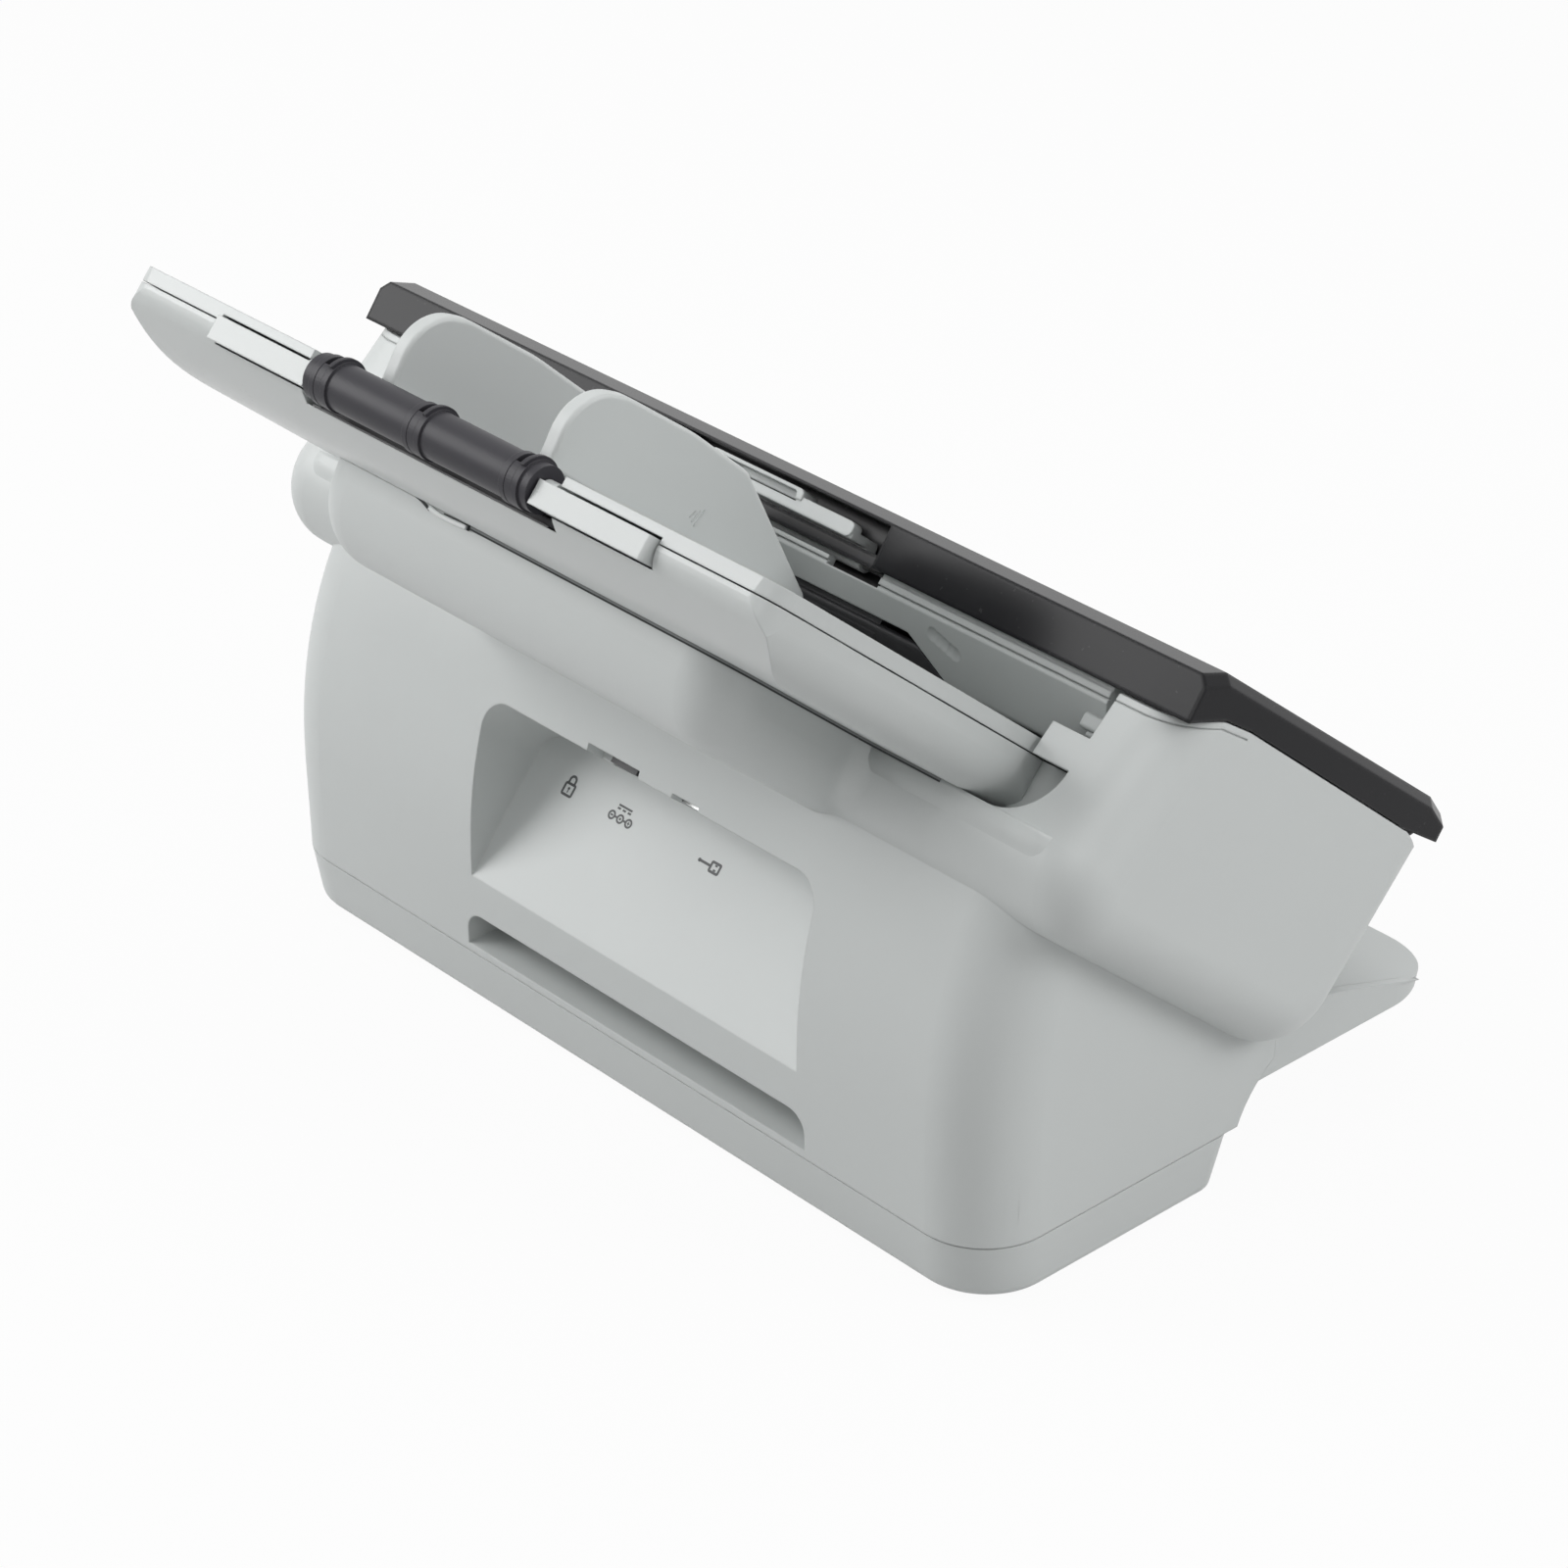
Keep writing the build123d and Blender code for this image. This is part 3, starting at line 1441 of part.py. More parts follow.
def make_roller_cover():
    body_top = separation_n + separation_radius + 2.4
    core = across([
        (module_front + 0.4, panel_level + 0.4),
        (panel_entry + 0.5, panel_level + 0.4, 2.0),
        (panel_entry + 3.4, panel_level + 3.6, 1.0),
        (panel_entry + 3.4, lever_pivot_level - 5.0, 2.0),
        (panel_entry - 1.5, lever_pivot_level - 5.0),
        (panel_entry - 1.5, body_top, 3.0),
        (module_front + 0.4, body_top, 3.0),
    ], -49.6, 49.6)
    wing = module_width / 2
    wings = across([
        (module_front + 0.4, panel_level + 0.4),
        (panel_entry + 0.5, panel_level + 0.4, 2.0),
        (panel_entry + 5.5, panel_level + 6.6, 1.5),
        (module_front + 0.4, panel_level + 6.6),
    ], -wing, wing) & along(module_corners(0.0), module_front, panel_rear)
    flange = block(-wing - 4.0, wing + 4.0, module_front - 5.0, module_front + 5.0,
                   panel_level + panel_wall, panel_level + panel_wall + 2.0)
    pocket = block(-separation_width / 2 - 1.0, separation_width / 2 + 1.0,
                   pick_s - separation_radius - 0.8, pick_s + separation_radius + 0.8,
                   panel_level - 2.0, separation_n + separation_radius + 0.8)
    cover = core + wings + flange - pocket
    for x0, x1 in ((-47.0, -21.0), (21.0, 47.0)):
        cover = cover - block(x0, x1, module_front + 4.0, panel_entry - 4.0,
                              panel_level + 9.0, body_top + 1.0)
    return on_path(cover - rod(-23.0, 23.0, pick_s, separation_n, 2.0 + running_gap))


def make_separation_roller():
    half = separation_width / 2
    roller = rod(-half, half, pick_s, separation_n, separation_radius)
    for x in (-8.0, 0.0, 8.0):
        groove = rod(x - 0.6, x + 0.6, pick_s, separation_n, separation_radius + 1.0)
        groove = groove - rod(x - 0.6, x + 0.6, pick_s, separation_n, separation_radius - 0.8)
        roller = roller - groove
    return on_path(roller + rod(-22.5, 22.5, pick_s, separation_n, 2.0))


def pinch_rollers(s):
    rollers = rod(-half_panel + 0.4, half_panel - 0.4, s, pinch_n, pinch_axle_radius)
    half = tyre_width / 2 - 1.0
    for x in tyre_spots():
        rollers = rollers + rod(x - half, x + half, s, pinch_n, pinch_radius)
    return on_path(rollers)


def make_feed_pinch():
    return pinch_rollers(feed_s)


def make_exit_pinch():
    return pinch_rollers(exit_s)


def make_pinch_springs():
    # Leaf springs that stand on the panel's floor and reach over the pinch axles.
    springs = []
    floor = panel_level + panel_wall
    over = pinch_n + pinch_axle_radius + 0.35
    for s in (feed_s, exit_s):
        for x in (-62.0, 62.0):
            leaf = across([
                (s + 6.4, floor),
                (s + 7.2, floor),
                (s + 7.2, over + 0.8, 0.9),
                (s - 3.0, over + 0.8),
                (s - 3.0, over),
                (s + 6.4, over),
            ], x - 4.0, x + 4.0)
            springs.append(on_path(leaf))
    return Compound(children=springs)


# Latch that holds the door shut
def make_latch_lever():
    half = lever_width / 2
    barrel = rod(-half, half, lever_pivot_s, lever_pivot_level, lever_barrel_radius)
    level = cover_rear_level - lever_bar_drop
    bar_top = level + lever_bar_height
    rear = lever_pivot_s + 11.0
    web = across([
        (lever_pivot_s - 2.0, lever_pivot_level),
        (lever_pivot_s + 2.0, lever_pivot_level),
        (lever_pivot_s + 2.8, level),
        (rear - 1.0, level),
        (rear - 1.0, level + 2.2),
        (lever_pivot_s - 0.6, level + 2.2, 1.0),
    ], -half, half)
    bar = block(-half, half, rear - 3.6, rear, level, bar_top)
    bar = fillet(bar.edges().filter_by(Axis.Y), 1.7)
    grip = along([
        (-grip_width / 2, bar_top - 1.0),
        (grip_width / 2, bar_top - 1.0),
        (grip_width / 2, bar_top + grip_height, 1.6),
        (-grip_width / 2, bar_top + grip_height, 1.6),
    ], rear - 6.0, rear + 0.4)
    finger_room = along([
        (-grip_width / 2 + 1.6, bar_top - 1.6),
        (grip_width / 2 - 1.6, bar_top - 1.6),
        (grip_width / 2 - 2.6, bar_top + grip_height - 0.9, 0.8),
        (-grip_width / 2 + 2.6, bar_top + grip_height - 0.9, 0.8),
    ], rear - 4.4, rear + 1.0)
    lever = barrel + web + bar + grip - finger_room
    return on_path(lever - rod(-half, half, lever_pivot_s, lever_pivot_level, latch_shaft_radius))


def make_latch_hooks():
    inner = half_panel + 0.5
    shaft = rod(-inner, inner, lever_pivot_s, lever_pivot_level, latch_shaft_radius - 0.01)
    hook = across([
        (lever_pivot_s - 3.5, lever_pivot_level + 3.0, 2.5),
        (lever_pivot_s - 3.5, panel_level + 1.8, 0.6),
        (lever_pivot_s - 0.6, panel_level, 0.6),
        (lever_pivot_s + 1.5, panel_level + 2.4, 0.6),
        (lever_pivot_s + 3.5, lever_pivot_level + 3.0, 2.5),
    ], inner, inner + hook_thickness)
    return on_path(shaft + both_sides(hook))


def latch_keeper():
    # A stud on each bay wall, just ahead of the hook's path.
    return both_sides(rod(half_panel + 1.0, half_bay + 1.0, lever_pivot_s - 6.4,
                          panel_level + 5.4, 2.0))


# Input tray
def tray_plan(inset):
    half = half_tray - inset
    return [
        (-half, tray_foot + inset, tray_foot_corner - inset),
        (half, tray_foot + inset, tray_foot_corner - inset),
        (half, tray_end - inset, tray_end_corner - inset),
        (-half, tray_end - inset, tray_end_corner - inset),
    ]


def tray_side_section(inset):
    # The end's long underside curve, drawn in (s, n).
    end = tray_end - inset
    bottom = tray_bottom + inset
    start = tray_foot + inset
    curve_end = Vector(end - 34.0, bottom)
    tip = Vector(end, tray_joint - 1.5)
    under = Spline(curve_end, Vector(end - 17.8, bottom + 1.7), Vector(end - 5.0, bottom + 7.7), tip,
                   tangents=[(1.0, 0.0), (0.15, 1.0)])
    low_corner = Vector(start + 9.0, bottom)
    foot_rise = Vector(start, bottom + 9.0)
    foot_arc = ThreePointArc(foot_rise, Vector(start + 2.6, bottom + 2.6), low_corner)
    rim_end = Vector(end - 0.3, tray_top + 6.0)
    rim_start = Vector(start, tray_top + 6.0)
    edges = [under, Line(tip, rim_end), Line(rim_end, rim_start), Line(rim_start, foot_rise),
             foot_arc, Line(low_corner, curve_end)]
    return make_face(edges)


def tray_cross_section(inset):
    # Rounded lower edges, drawn in (x, n).
    half = half_tray - inset
    bottom = tray_bottom + inset
    return [
        (-half, bottom, tray_side_roll - inset),
        (half, bottom, tray_side_roll - inset),
        (half, tray_top + 8.0),
        (-half, tray_top + 8.0),
    ]


def tray_body(inset, n0, n1):
    plan = upward(tray_plan(inset), n0, n1)
    side_face = Plane.YZ.offset(-half_tray) * tray_side_section(inset)
    side = extrude(side_face, amount=2 * half_tray, dir=(1, 0, 0))
    cross = along(tray_cross_section(inset), tray_foot, tray_end)
    return plan & side & cross


def flip_room(grow):
    # The open-ended room for the flip piece's arm and barrel.
    arm = block(-flip_arm_width / 2 - grow, flip_arm_width / 2 + grow, flip_arm_start - grow,
                tray_end + 5.0, tray_joint - 6.0, tray_top + 3.0)
    half = flip_width / 2 + 5.2
    barrel = block(-half, half, flip_axis_s - flip_collar_radius - 0.7, tray_end + 5.0,
                   flip_axis_level - flip_collar_radius - 0.8, tray_top + 3.0)
    return arm + barrel


def guide_slot_s():
    # The middle lines of the rack slots, one each side of the pinion.
    offset = rack_teeth_radius + dedendum + rack_back / 2
    return rack_line - offset, rack_line + offset


def make_tray_plate():
    plate = tray_body(0.0, tray_joint, tray_top)
    hollow = tray_body(2.0, tray_joint - 1.0, tray_top - tray_plate_skin)
    plate = plate - hollow
    half = half_extension + 0.5
    plate = plate - block(-half, half, tray_end - 6.0, tray_end + 3.0, tray_joint - 1.0,
                          tray_top - tray_plate_skin)
    plate = plate - flip_room(0.5)
    x0 = guide_inner - 3.0
    x1 = guide_inner + guide_thickness + guide_travel + 1.0
    lower_s, upper_s = guide_slot_s()
    for s in (lower_s, upper_s):
        for side in (-1, 1):
            plate = plate - block(min(side * x0, side * x1), max(side * x0, side * x1),
                                  s - 2.4, s + 2.4, tray_joint - 1.0, tray_top + 1.0)
    plate = plate + peg(0, rack_line, rack_level, tray_top - tray_plate_skin + 0.3, 3.0)
    return on_path(plate)


def tray_posts():
    # Posts that carry the plate, clear of the racks and the extension.
    x_foot = half_tray - tray_foot_corner - 4.0
    x_end = half_tray - tray_side_roll - 4.0
    return [(-x_foot, tray_foot + 6.5), (x_foot, tray_foot + 6.5), (-x_end, tray_end - 24.0),
            (x_end, tray_end - 24.0)]


def make_tray_shell():
    shell = tray_body(0.0, tray_bottom, tray_joint - 0.35)
    shell = shell - tray_body(tray_shell_wall, tray_bottom + tray_shell_wall, tray_joint + 1.0)
    half = half_extension + 0.5
    shell = shell - block(-half, half, tray_end - 8.0, tray_end + 3.0, extension_level - 0.4,
                          tray_joint + 1.0)
    shell = shell - flip_room(0.5)
    rails = block(half_extension - 6.0, half_extension + 2.0, extension_start - 8.0,
                  tray_end - 24.0, tray_bottom + 1.0, extension_level - 0.3)
    cheeks = block(half_extension + 0.4, half_extension + 2.0, extension_start - 8.0,
                   tray_end - 24.0, tray_bottom + 1.0, rack_level - 0.4)
    shell = shell + both_sides(rails) + both_sides(cheeks)
    for x, s in tray_posts():
        shell = shell + peg(x, s, tray_bottom + 1.0, tray_top - tray_plate_skin, 3.0)
    return on_path(shell)


def make_tray_extension():
    top = extension_level + extension_thickness
    plate = block(-half_extension, half_extension, extension_start, tray_end - 5.0,
                  extension_level, top)
    cap = block(-half_extension, half_extension, tray_end - 6.0, extension_end, extension_level,
                extension_cap_top)
    cap = fillet(cap.edges().filter_by(Axis.Z), 1.2)
    room = block(-flip_width / 2 - 0.6, flip_width / 2 + 0.6,
                 flip_axis_s - flip_collar_radius - 0.6, extension_end + 1.0,
                 extension_level - 1.0, extension_cap_top + 2.0)
    inner = flip_width / 2 + 0.6
    lug = rod(inner, inner + 4.0, flip_axis_s, flip_axis_level, 2.9)
    part = plate + cap - room + both_sides(lug)
    part = part - both_sides(rod(inner - 1.0, inner + 4.0, flip_axis_s, flip_axis_level,
                                 flip_pin_radius))
    return on_path(part)


def make_flip_piece():
    half = flip_width / 2
    barrel = rod(-half, half, flip_axis_s, flip_axis_level, flip_barrel_radius)
    for x in (-half + 6.0, 0.0, half - 6.0):
        barrel = barrel + rod(x - 3.2, x + 3.2, flip_axis_s, flip_axis_level, flip_collar_radius)
        ring = rod(x - 1.3, x + 1.3, flip_axis_s, flip_axis_level, flip_collar_radius + 1.0)
        core = rod(x - 1.3, x + 1.3, flip_axis_s, flip_axis_level, flip_barrel_radius - 1.4)
        barrel = barrel - (ring - core)
    arm = block(-flip_arm_width / 2, flip_arm_width / 2, flip_arm_start, flip_axis_s,
                tray_top - 0.1 - flip_arm_thickness, tray_top - 0.1)
    arm = fillet(arm.edges().filter_by(Axis.Z).sort_by(Axis.Y)[0:2], 6.0)
    piece = barrel + arm
    return on_path(piece - rod(-half, half, flip_axis_s, flip_axis_level,
                               flip_pin_radius + running_gap))


def make_flip_pin():
    reach = flip_width / 2 + 4.6
    return on_path(rod(-reach, reach, flip_axis_s, flip_axis_level, flip_pin_radius - 0.01))


# Paper guides with their racks
def rack_teeth(x0, x1, line_s, towards):
    # Teeth of a rack along x, pointing towards the pinion, with a gap at x = 0.
    pitch = math.pi * gear_module
    half = tooth_share * pitch / 2
    root = line_s - towards * dedendum * gear_module
    tip = line_s + towards * addendum * gear_module
    root_half = half + dedendum * gear_module * pressure_slope
    tip_half = half - addendum * gear_module * pressure_slope
    teeth = None
    first = math.ceil((x0 + root_half) / pitch - 0.5)
    last = math.floor((x1 - root_half) / pitch - 0.5)
    for i in range(first, last + 1):
        x = (i + 0.5) * pitch
        tooth = upward([
            (x - root_half, root - towards * 0.1),
            (x + root_half, root - towards * 0.1),
            (x + tip_half, tip),
            (x - tip_half, tip),
        ], rack_level, rack_level + rack_thickness)
        teeth = tooth if teeth is None else teeth + tooth
    return teeth


def guide_rack(x0, x1, towards):
    line_s = rack_line - towards * rack_teeth_radius
    root = line_s - towards * dedendum * gear_module
    back = root - towards * rack_back
    bar = block(x0, x1, min(root, back), max(root, back), rack_level, rack_level + rack_thickness)
    return bar + rack_teeth(x0, x1, line_s, towards)


def guide_fin():
    base = tray_top + guide_clearance
    fin = across([
        (guide_start, base),
        (guide_end - 2.0, base, 1.5),
        (guide_end + 0.8, guide_top - 5.0, 13.0),
        (guide_end - 14.8, guide_top - 1.0, 14.0),
        (guide_end - 40.8, guide_top, 60.0),
        (guide_end - 63.8, guide_top - 1.2, 6.0),
        (guide_start, base + 4.4, 2.0),
    ], guide_inner, guide_inner + guide_thickness)
    rim_edges = []
    for edge in fin.edges():
        middle = edge.position_at(0.5)
        at_side = abs(middle.X - guide_inner - guide_thickness / 2) > guide_thickness / 2 - 0.01
        if at_side and middle.Z > base + 0.5:
            rim_edges.append(edge)
    return fillet(rim_edges, 1.1)


def guide_shape(towards):
    # The right guide; towards is the side of the pinion its rack is on.
    base = tray_top + guide_clearance
    slots = guide_slot_s()
    near = slots[1] if towards < 0 else slots[0]
    far = slots[0] if towards < 0 else slots[1]
    outer = guide_inner + guide_thickness
    guide = guide_fin()
    foot = block(outer - 1.0, outer + guide_foot_width, guide_start + 1.0, guide_start + 45.5, base,
                 base + guide_foot_thickness)
    foot = fillet(foot.edges().filter_by(Axis.Z).sort_by(Axis.X)[2:4], 4.0)
    leg = block(guide_inner, outer, near - 1.8, near + 1.8, rack_level, base + 1.0)
    tongue = block(guide_inner, outer, far - 1.8, far + 1.8, tray_top - tray_plate_skin + 0.3,
                   base + 1.0)
    x0 = outer - guide_travel - 2.0 * rack_teeth_radius + 18.0
    return guide + foot + leg + tongue + guide_rack(x0 - 12.0, outer + 2.0, towards)


def make_guide_right():
    return on_path(guide_shape(-1))


def make_guide_left():
    return on_path(mirror(guide_shape(1), Plane.YZ))


def make_guide_pinion():
    teeth = round(2 * rack_teeth_radius / gear_module)
    face = Pos(0, rack_line, rack_level) * gear_face(teeth, 90.0)
    pinion = extrude(face, amount=rack_thickness, dir=(0, 0, 1))
    return on_path(pinion - peg(0, rack_line, rack_level, rack_level + rack_thickness,
                                3.0 + running_gap))


# Output tray, its extension and its stop
def out_plan(top, bottom):
    half = half_out
    return upward([
        (-half, -out_reach, out_corner),
        (half, -out_reach, out_corner),
        (half, out_tongue),
        (-half, out_tongue),
    ], bottom, top)


def make_output_tray():
    # A wedge with a flat underside, thickest where it meets the foot.
    half = half_out
    plate = on_out(out_plan(0.0, -30.0))
    ground = block(-2 * half, 2 * half, -out_reach - 90.0, 0.0, out_underside, 3 * out_level)
    wedge = plate & ground
    under_edges = []
    for edge in wedge.edges():
        middle = edge.position_at(0.5)
        if abs(middle.Z - out_underside) < 0.01 and middle.Y < wall_y - 1.0:
            under_edges.append(edge)
    wedge = fillet(under_edges, 0.8)
    rim = across([
        (-out_reach + out_rim_start, -0.4),
        (-out_reach + out_rim_full, out_rim_rise),
        (-out_rim_end, out_rim_rise),
        (-out_rim_end, -0.4),
    ], half - out_rim_width, half)
    rims = both_sides(rim)
    channel_half = out_extension_width / 2 + out_channel_margin
    channel = block(-channel_half, channel_half, -out_reach + 0.4, -3.0, -out_channel_depth, -0.5)
    tongue_half = half_base - wall - 1.2
    tongue = block(-tongue_half, tongue_half, -3.0, out_tongue, -out_thickness + 1.0, -1.0)
    tray = wedge + on_out(rims + channel) - foot_form(-0.15)
    return tray + on_out(tongue) - on_out(extension_groove(0.3))


def extension_groove(gap):
    half = out_extension_width / 2 + gap
    top = block(-half, half, -out_reach - 5.0, -out_reach + out_extension_start + gap,
                -out_extension_thickness - gap, 2.0)
    under = block(-half - 3.0, half + 3.0, -out_reach - 5.0,
                  -out_reach + out_extension_start + gap, -out_extension_thickness - gap,
                  -out_extension_thickness + 1.2 + gap)
    return top + under


def stop_axis():
    return -out_reach + 4.0, -out_extension_thickness / 2 - 0.1


def make_output_extension():
    half = out_extension_width / 2
    front = -out_reach - 0.5
    rear = -out_reach + out_extension_start
    plate = block(-half, half, front, rear, -out_extension_thickness, -0.1)
    plate = plate + block(-half - 2.7, half + 2.7, front + 2.0, rear, -out_extension_thickness,
                          -out_extension_thickness + 1.2)
    s, n = stop_axis()
    room = block(-out_stop_width / 2 - 0.5, out_stop_width / 2 + 0.5, s - 2.6,
                 s + out_stop_length + 0.6, -out_extension_thickness - 1.0, 1.0)
    plate = plate - room
    reach = out_stop_width / 2 + 3.5
    return on_out(plate - rod(-reach, reach, s, n, stop_pin_radius + running_gap))


def make_output_stop():
    s, n = stop_axis()
    half = out_stop_width / 2
    barrel = rod(-half, half, s, n, 1.6)
    pins = rod(-half - 3.0, half + 3.0, s, n, stop_pin_radius)
    plate = block(-half, half, s, s + out_stop_length, -out_extension_thickness, -0.4)
    plate = fillet(plate.edges().filter_by(Axis.Z).sort_by(Axis.Y)[2:4], 4.0)
    return on_out(barrel + pins + plate)


def output_slot():
    # The slot in the front wall that takes the output tray's tongue.
    half = half_base - wall - 1.0
    return on_out(block(-half, half, -4.0, out_tongue, -out_thickness + 0.8, -0.8))


def main():
    os.makedirs("parts", exist_ok=True)
    write("main_housing", make_main_housing())
    write("base_cover", make_base_cover())
    write("rubber_feet", make_rubber_feet())
    write("base_screws", make_base_screws())
    write("side_frame_left", make_side_frame_left())
    write("side_frame_right", make_side_frame_right())
    write("frame_screws", make_frame_screws())
    write("shaft_bushings", make_shaft_bushings())
    write("lower_guide", make_lower_guide())
    write("lower_image_sensor", make_lower_sensor())
    write("lower_sensor_glass", make_lower_glass())
    write("pick_roller_shaft", make_pick_shaft())
    write("pick_roller_tyres", make_pick_tyres())
    write("feed_roller_shaft", make_feed_shaft())
    write("feed_roller_tyres", make_feed_tyres())
    write("exit_roller_shaft", make_exit_shaft())
    write("exit_roller_tyres", make_exit_tyres())
    write("feed_gear", make_feed_gear())
    write("idler_gear", make_idler_gear())
    write("idler_pin", make_idler_pin())
    write("pick_gear", make_pick_gear())
    write("exit_pulley", make_exit_pulley())
    write("drive_belt", make_drive_belt())
    write("drive_motor", make_drive_motor())
    write("motor_pinion", make_motor_pinion())
    write("paper_sensor_lever", make_sensor_lever())
    write("sensor_bracket", make_sensor_bracket())
    write("main_board", make_main_board())
    write("power_inlet", make_power_inlet())
    write("data_port", make_data_port())
    write("lock_plate", make_lock_plate())
    write("front_cover", make_front_cover())
    write("door_hinge_pins", make_hinge_pins())
    write("display_window", make_display_window())
    write("start_button", make_start_button())
    write("stop_button", make_stop_button())
    write("power_button", make_power_button())
    write("scroll_rocker", make_scroll_rocker())
    write("control_board", make_control_board())
    write("inner_panel", make_inner_panel())
    write("upper_image_sensor", make_upper_sensor())
    write("upper_sensor_glass", make_upper_glass())
    write("roller_cover", make_roller_cover())
    write("separation_roller", make_separation_roller())
    write("feed_pinch_rollers", make_feed_pinch())
    write("exit_pinch_rollers", make_exit_pinch())
    write("pinch_springs", make_pinch_springs())
    write("latch_lever", make_latch_lever())
    write("latch_hooks", make_latch_hooks())
    write("tray_plate", make_tray_plate())
    write("tray_shell", make_tray_shell())
    write("tray_extension", make_tray_extension())
    write("flip_piece", make_flip_piece())
    write("flip_pin", make_flip_pin())
    write("paper_guide_right", make_guide_right())
    write("paper_guide_left", make_guide_left())
    write("guide_pinion", make_guide_pinion())
    write("output_tray", make_output_tray())
    write("output_extension", make_output_extension())
    write("output_stop", make_output_stop())


main()
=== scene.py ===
import math

import bmesh
import bpy
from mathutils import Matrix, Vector


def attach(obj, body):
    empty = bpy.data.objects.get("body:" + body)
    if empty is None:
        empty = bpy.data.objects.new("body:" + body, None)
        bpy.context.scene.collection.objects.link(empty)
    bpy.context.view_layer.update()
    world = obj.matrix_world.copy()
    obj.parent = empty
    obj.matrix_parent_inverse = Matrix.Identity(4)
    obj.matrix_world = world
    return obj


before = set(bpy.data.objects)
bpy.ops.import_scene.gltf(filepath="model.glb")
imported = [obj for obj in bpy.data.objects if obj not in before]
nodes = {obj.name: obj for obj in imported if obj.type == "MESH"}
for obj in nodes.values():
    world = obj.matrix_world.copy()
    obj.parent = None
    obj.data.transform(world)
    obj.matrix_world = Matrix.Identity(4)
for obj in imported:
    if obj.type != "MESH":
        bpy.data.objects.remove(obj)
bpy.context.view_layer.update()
print("frame loaded,", len(nodes), "nodes")

mm = 0.001


# Places on the inclined body: x across, s up the paper path, n out of it, all in millimetres
pathFrame = {"angle": 40.0, "start": 42.0, "lidLevel": 165.056, "lidSlope": 0.01668}
acrossDir = Vector((1, 0, 0))
alongDir = Vector((0, math.cos(math.radians(pathFrame["angle"])), math.sin(math.radians(pathFrame["angle"]))))
outDir = Vector((0, -alongDir.z, alongDir.y))
lidAlong = alongDir * math.cos(pathFrame["lidSlope"]) - outDir * math.sin(pathFrame["lidSlope"])
lidOut = alongDir * math.sin(pathFrame["lidSlope"]) + outDir * math.cos(pathFrame["lidSlope"])


def onPath(x, s, n):
    return Vector((x, pathFrame["start"], 0)) * mm + (alongDir * s + outDir * n) * mm


def onLid(x, y, z):
    return onPath(0, 0, pathFrame["lidLevel"]) + (acrossDir * x + lidAlong * y + lidOut * z) * mm


def placed(name, data):
    made = bpy.data.objects.new(name, data)
    bpy.context.scene.collection.objects.link(made)
    return made


def aimed(thing, place, towards):
    thing.location = place
    thing.rotation_mode = "QUATERNION"
    thing.rotation_quaternion = Vector(towards).to_track_quat("-Z", "Y")


# Camera at the photograph's angle
view = {"place": (-0.7675, 0.6796, 0.6649), "towards": (0.64118, -0.58339, -0.49855), "lens": 103.76, "film": 36}
camera = placed("camera", bpy.data.cameras.new("camera"))
camera.data.lens = view["lens"]
camera.data.sensor_width = view["film"]
aimed(camera, view["place"], view["towards"])
bpy.context.scene.camera = camera
bpy.context.scene.view_settings.view_transform = "Standard"
print("camera placed")


# Shader maths: a Wire is one socket, and arithmetic on it adds Math nodes
class Wire:
    def __init__(self, shading, socket):
        self.shading = shading
        self.socket = socket

    def maths(self, operation, first, second, clamp=False):
        settings = {"operation": operation, "use_clamp": clamp}
        return self.shading.node("ShaderNodeMath", settings, {0: first, 1: second})

    def __add__(self, other):
        return self.maths("ADD", self, other)

    def __radd__(self, other):
        return self.maths("ADD", other, self)

    def __sub__(self, other):
        return self.maths("SUBTRACT", self, other)

    def __rsub__(self, other):
        return self.maths("SUBTRACT", other, self)

    def __mul__(self, other):
        return self.maths("MULTIPLY", self, other)

    def __rmul__(self, other):
        return self.maths("MULTIPLY", other, self)

    def __abs__(self):
        return self.maths("ABSOLUTE", self, 0.0)

    def above(self, other):
        return self.maths("GREATER_THAN", self, other)

    def pingPong(self, length):
        return self.maths("PINGPONG", self, length)

    def sine(self):
        return self.maths("SINE", self, 0.0)

    def clamped(self):
        return self.maths("ADD", self, 0.0, True)


class Shading:
    def __init__(self, tree):
        self.tree = tree

    def node(self, kind, settings=None, values=None, output=0):
        made = self.tree.nodes.new(kind)
        for name, value in (settings or {}).items():
            setattr(made, name, value)
        self.fill(made, values or {})
        return Wire(self, made.outputs[output])

    def fill(self, made, values):
        for name, value in values.items():
            if isinstance(value, Wire):
                self.tree.links.new(value.socket, made.inputs[name])
            else:
                made.inputs[name].default_value = value

    def seen(self):
        # 1 where the ray shows the surface to the camera, also through a mirror or glass; 0 where it only lights
        direct, mirrored, through = (self.node("ShaderNodeLightPath", output=f"Is {kind} Ray")
                                     for kind in ("Camera", "Glossy", "Transmission"))
        return (direct + mirrored + through).clamped()


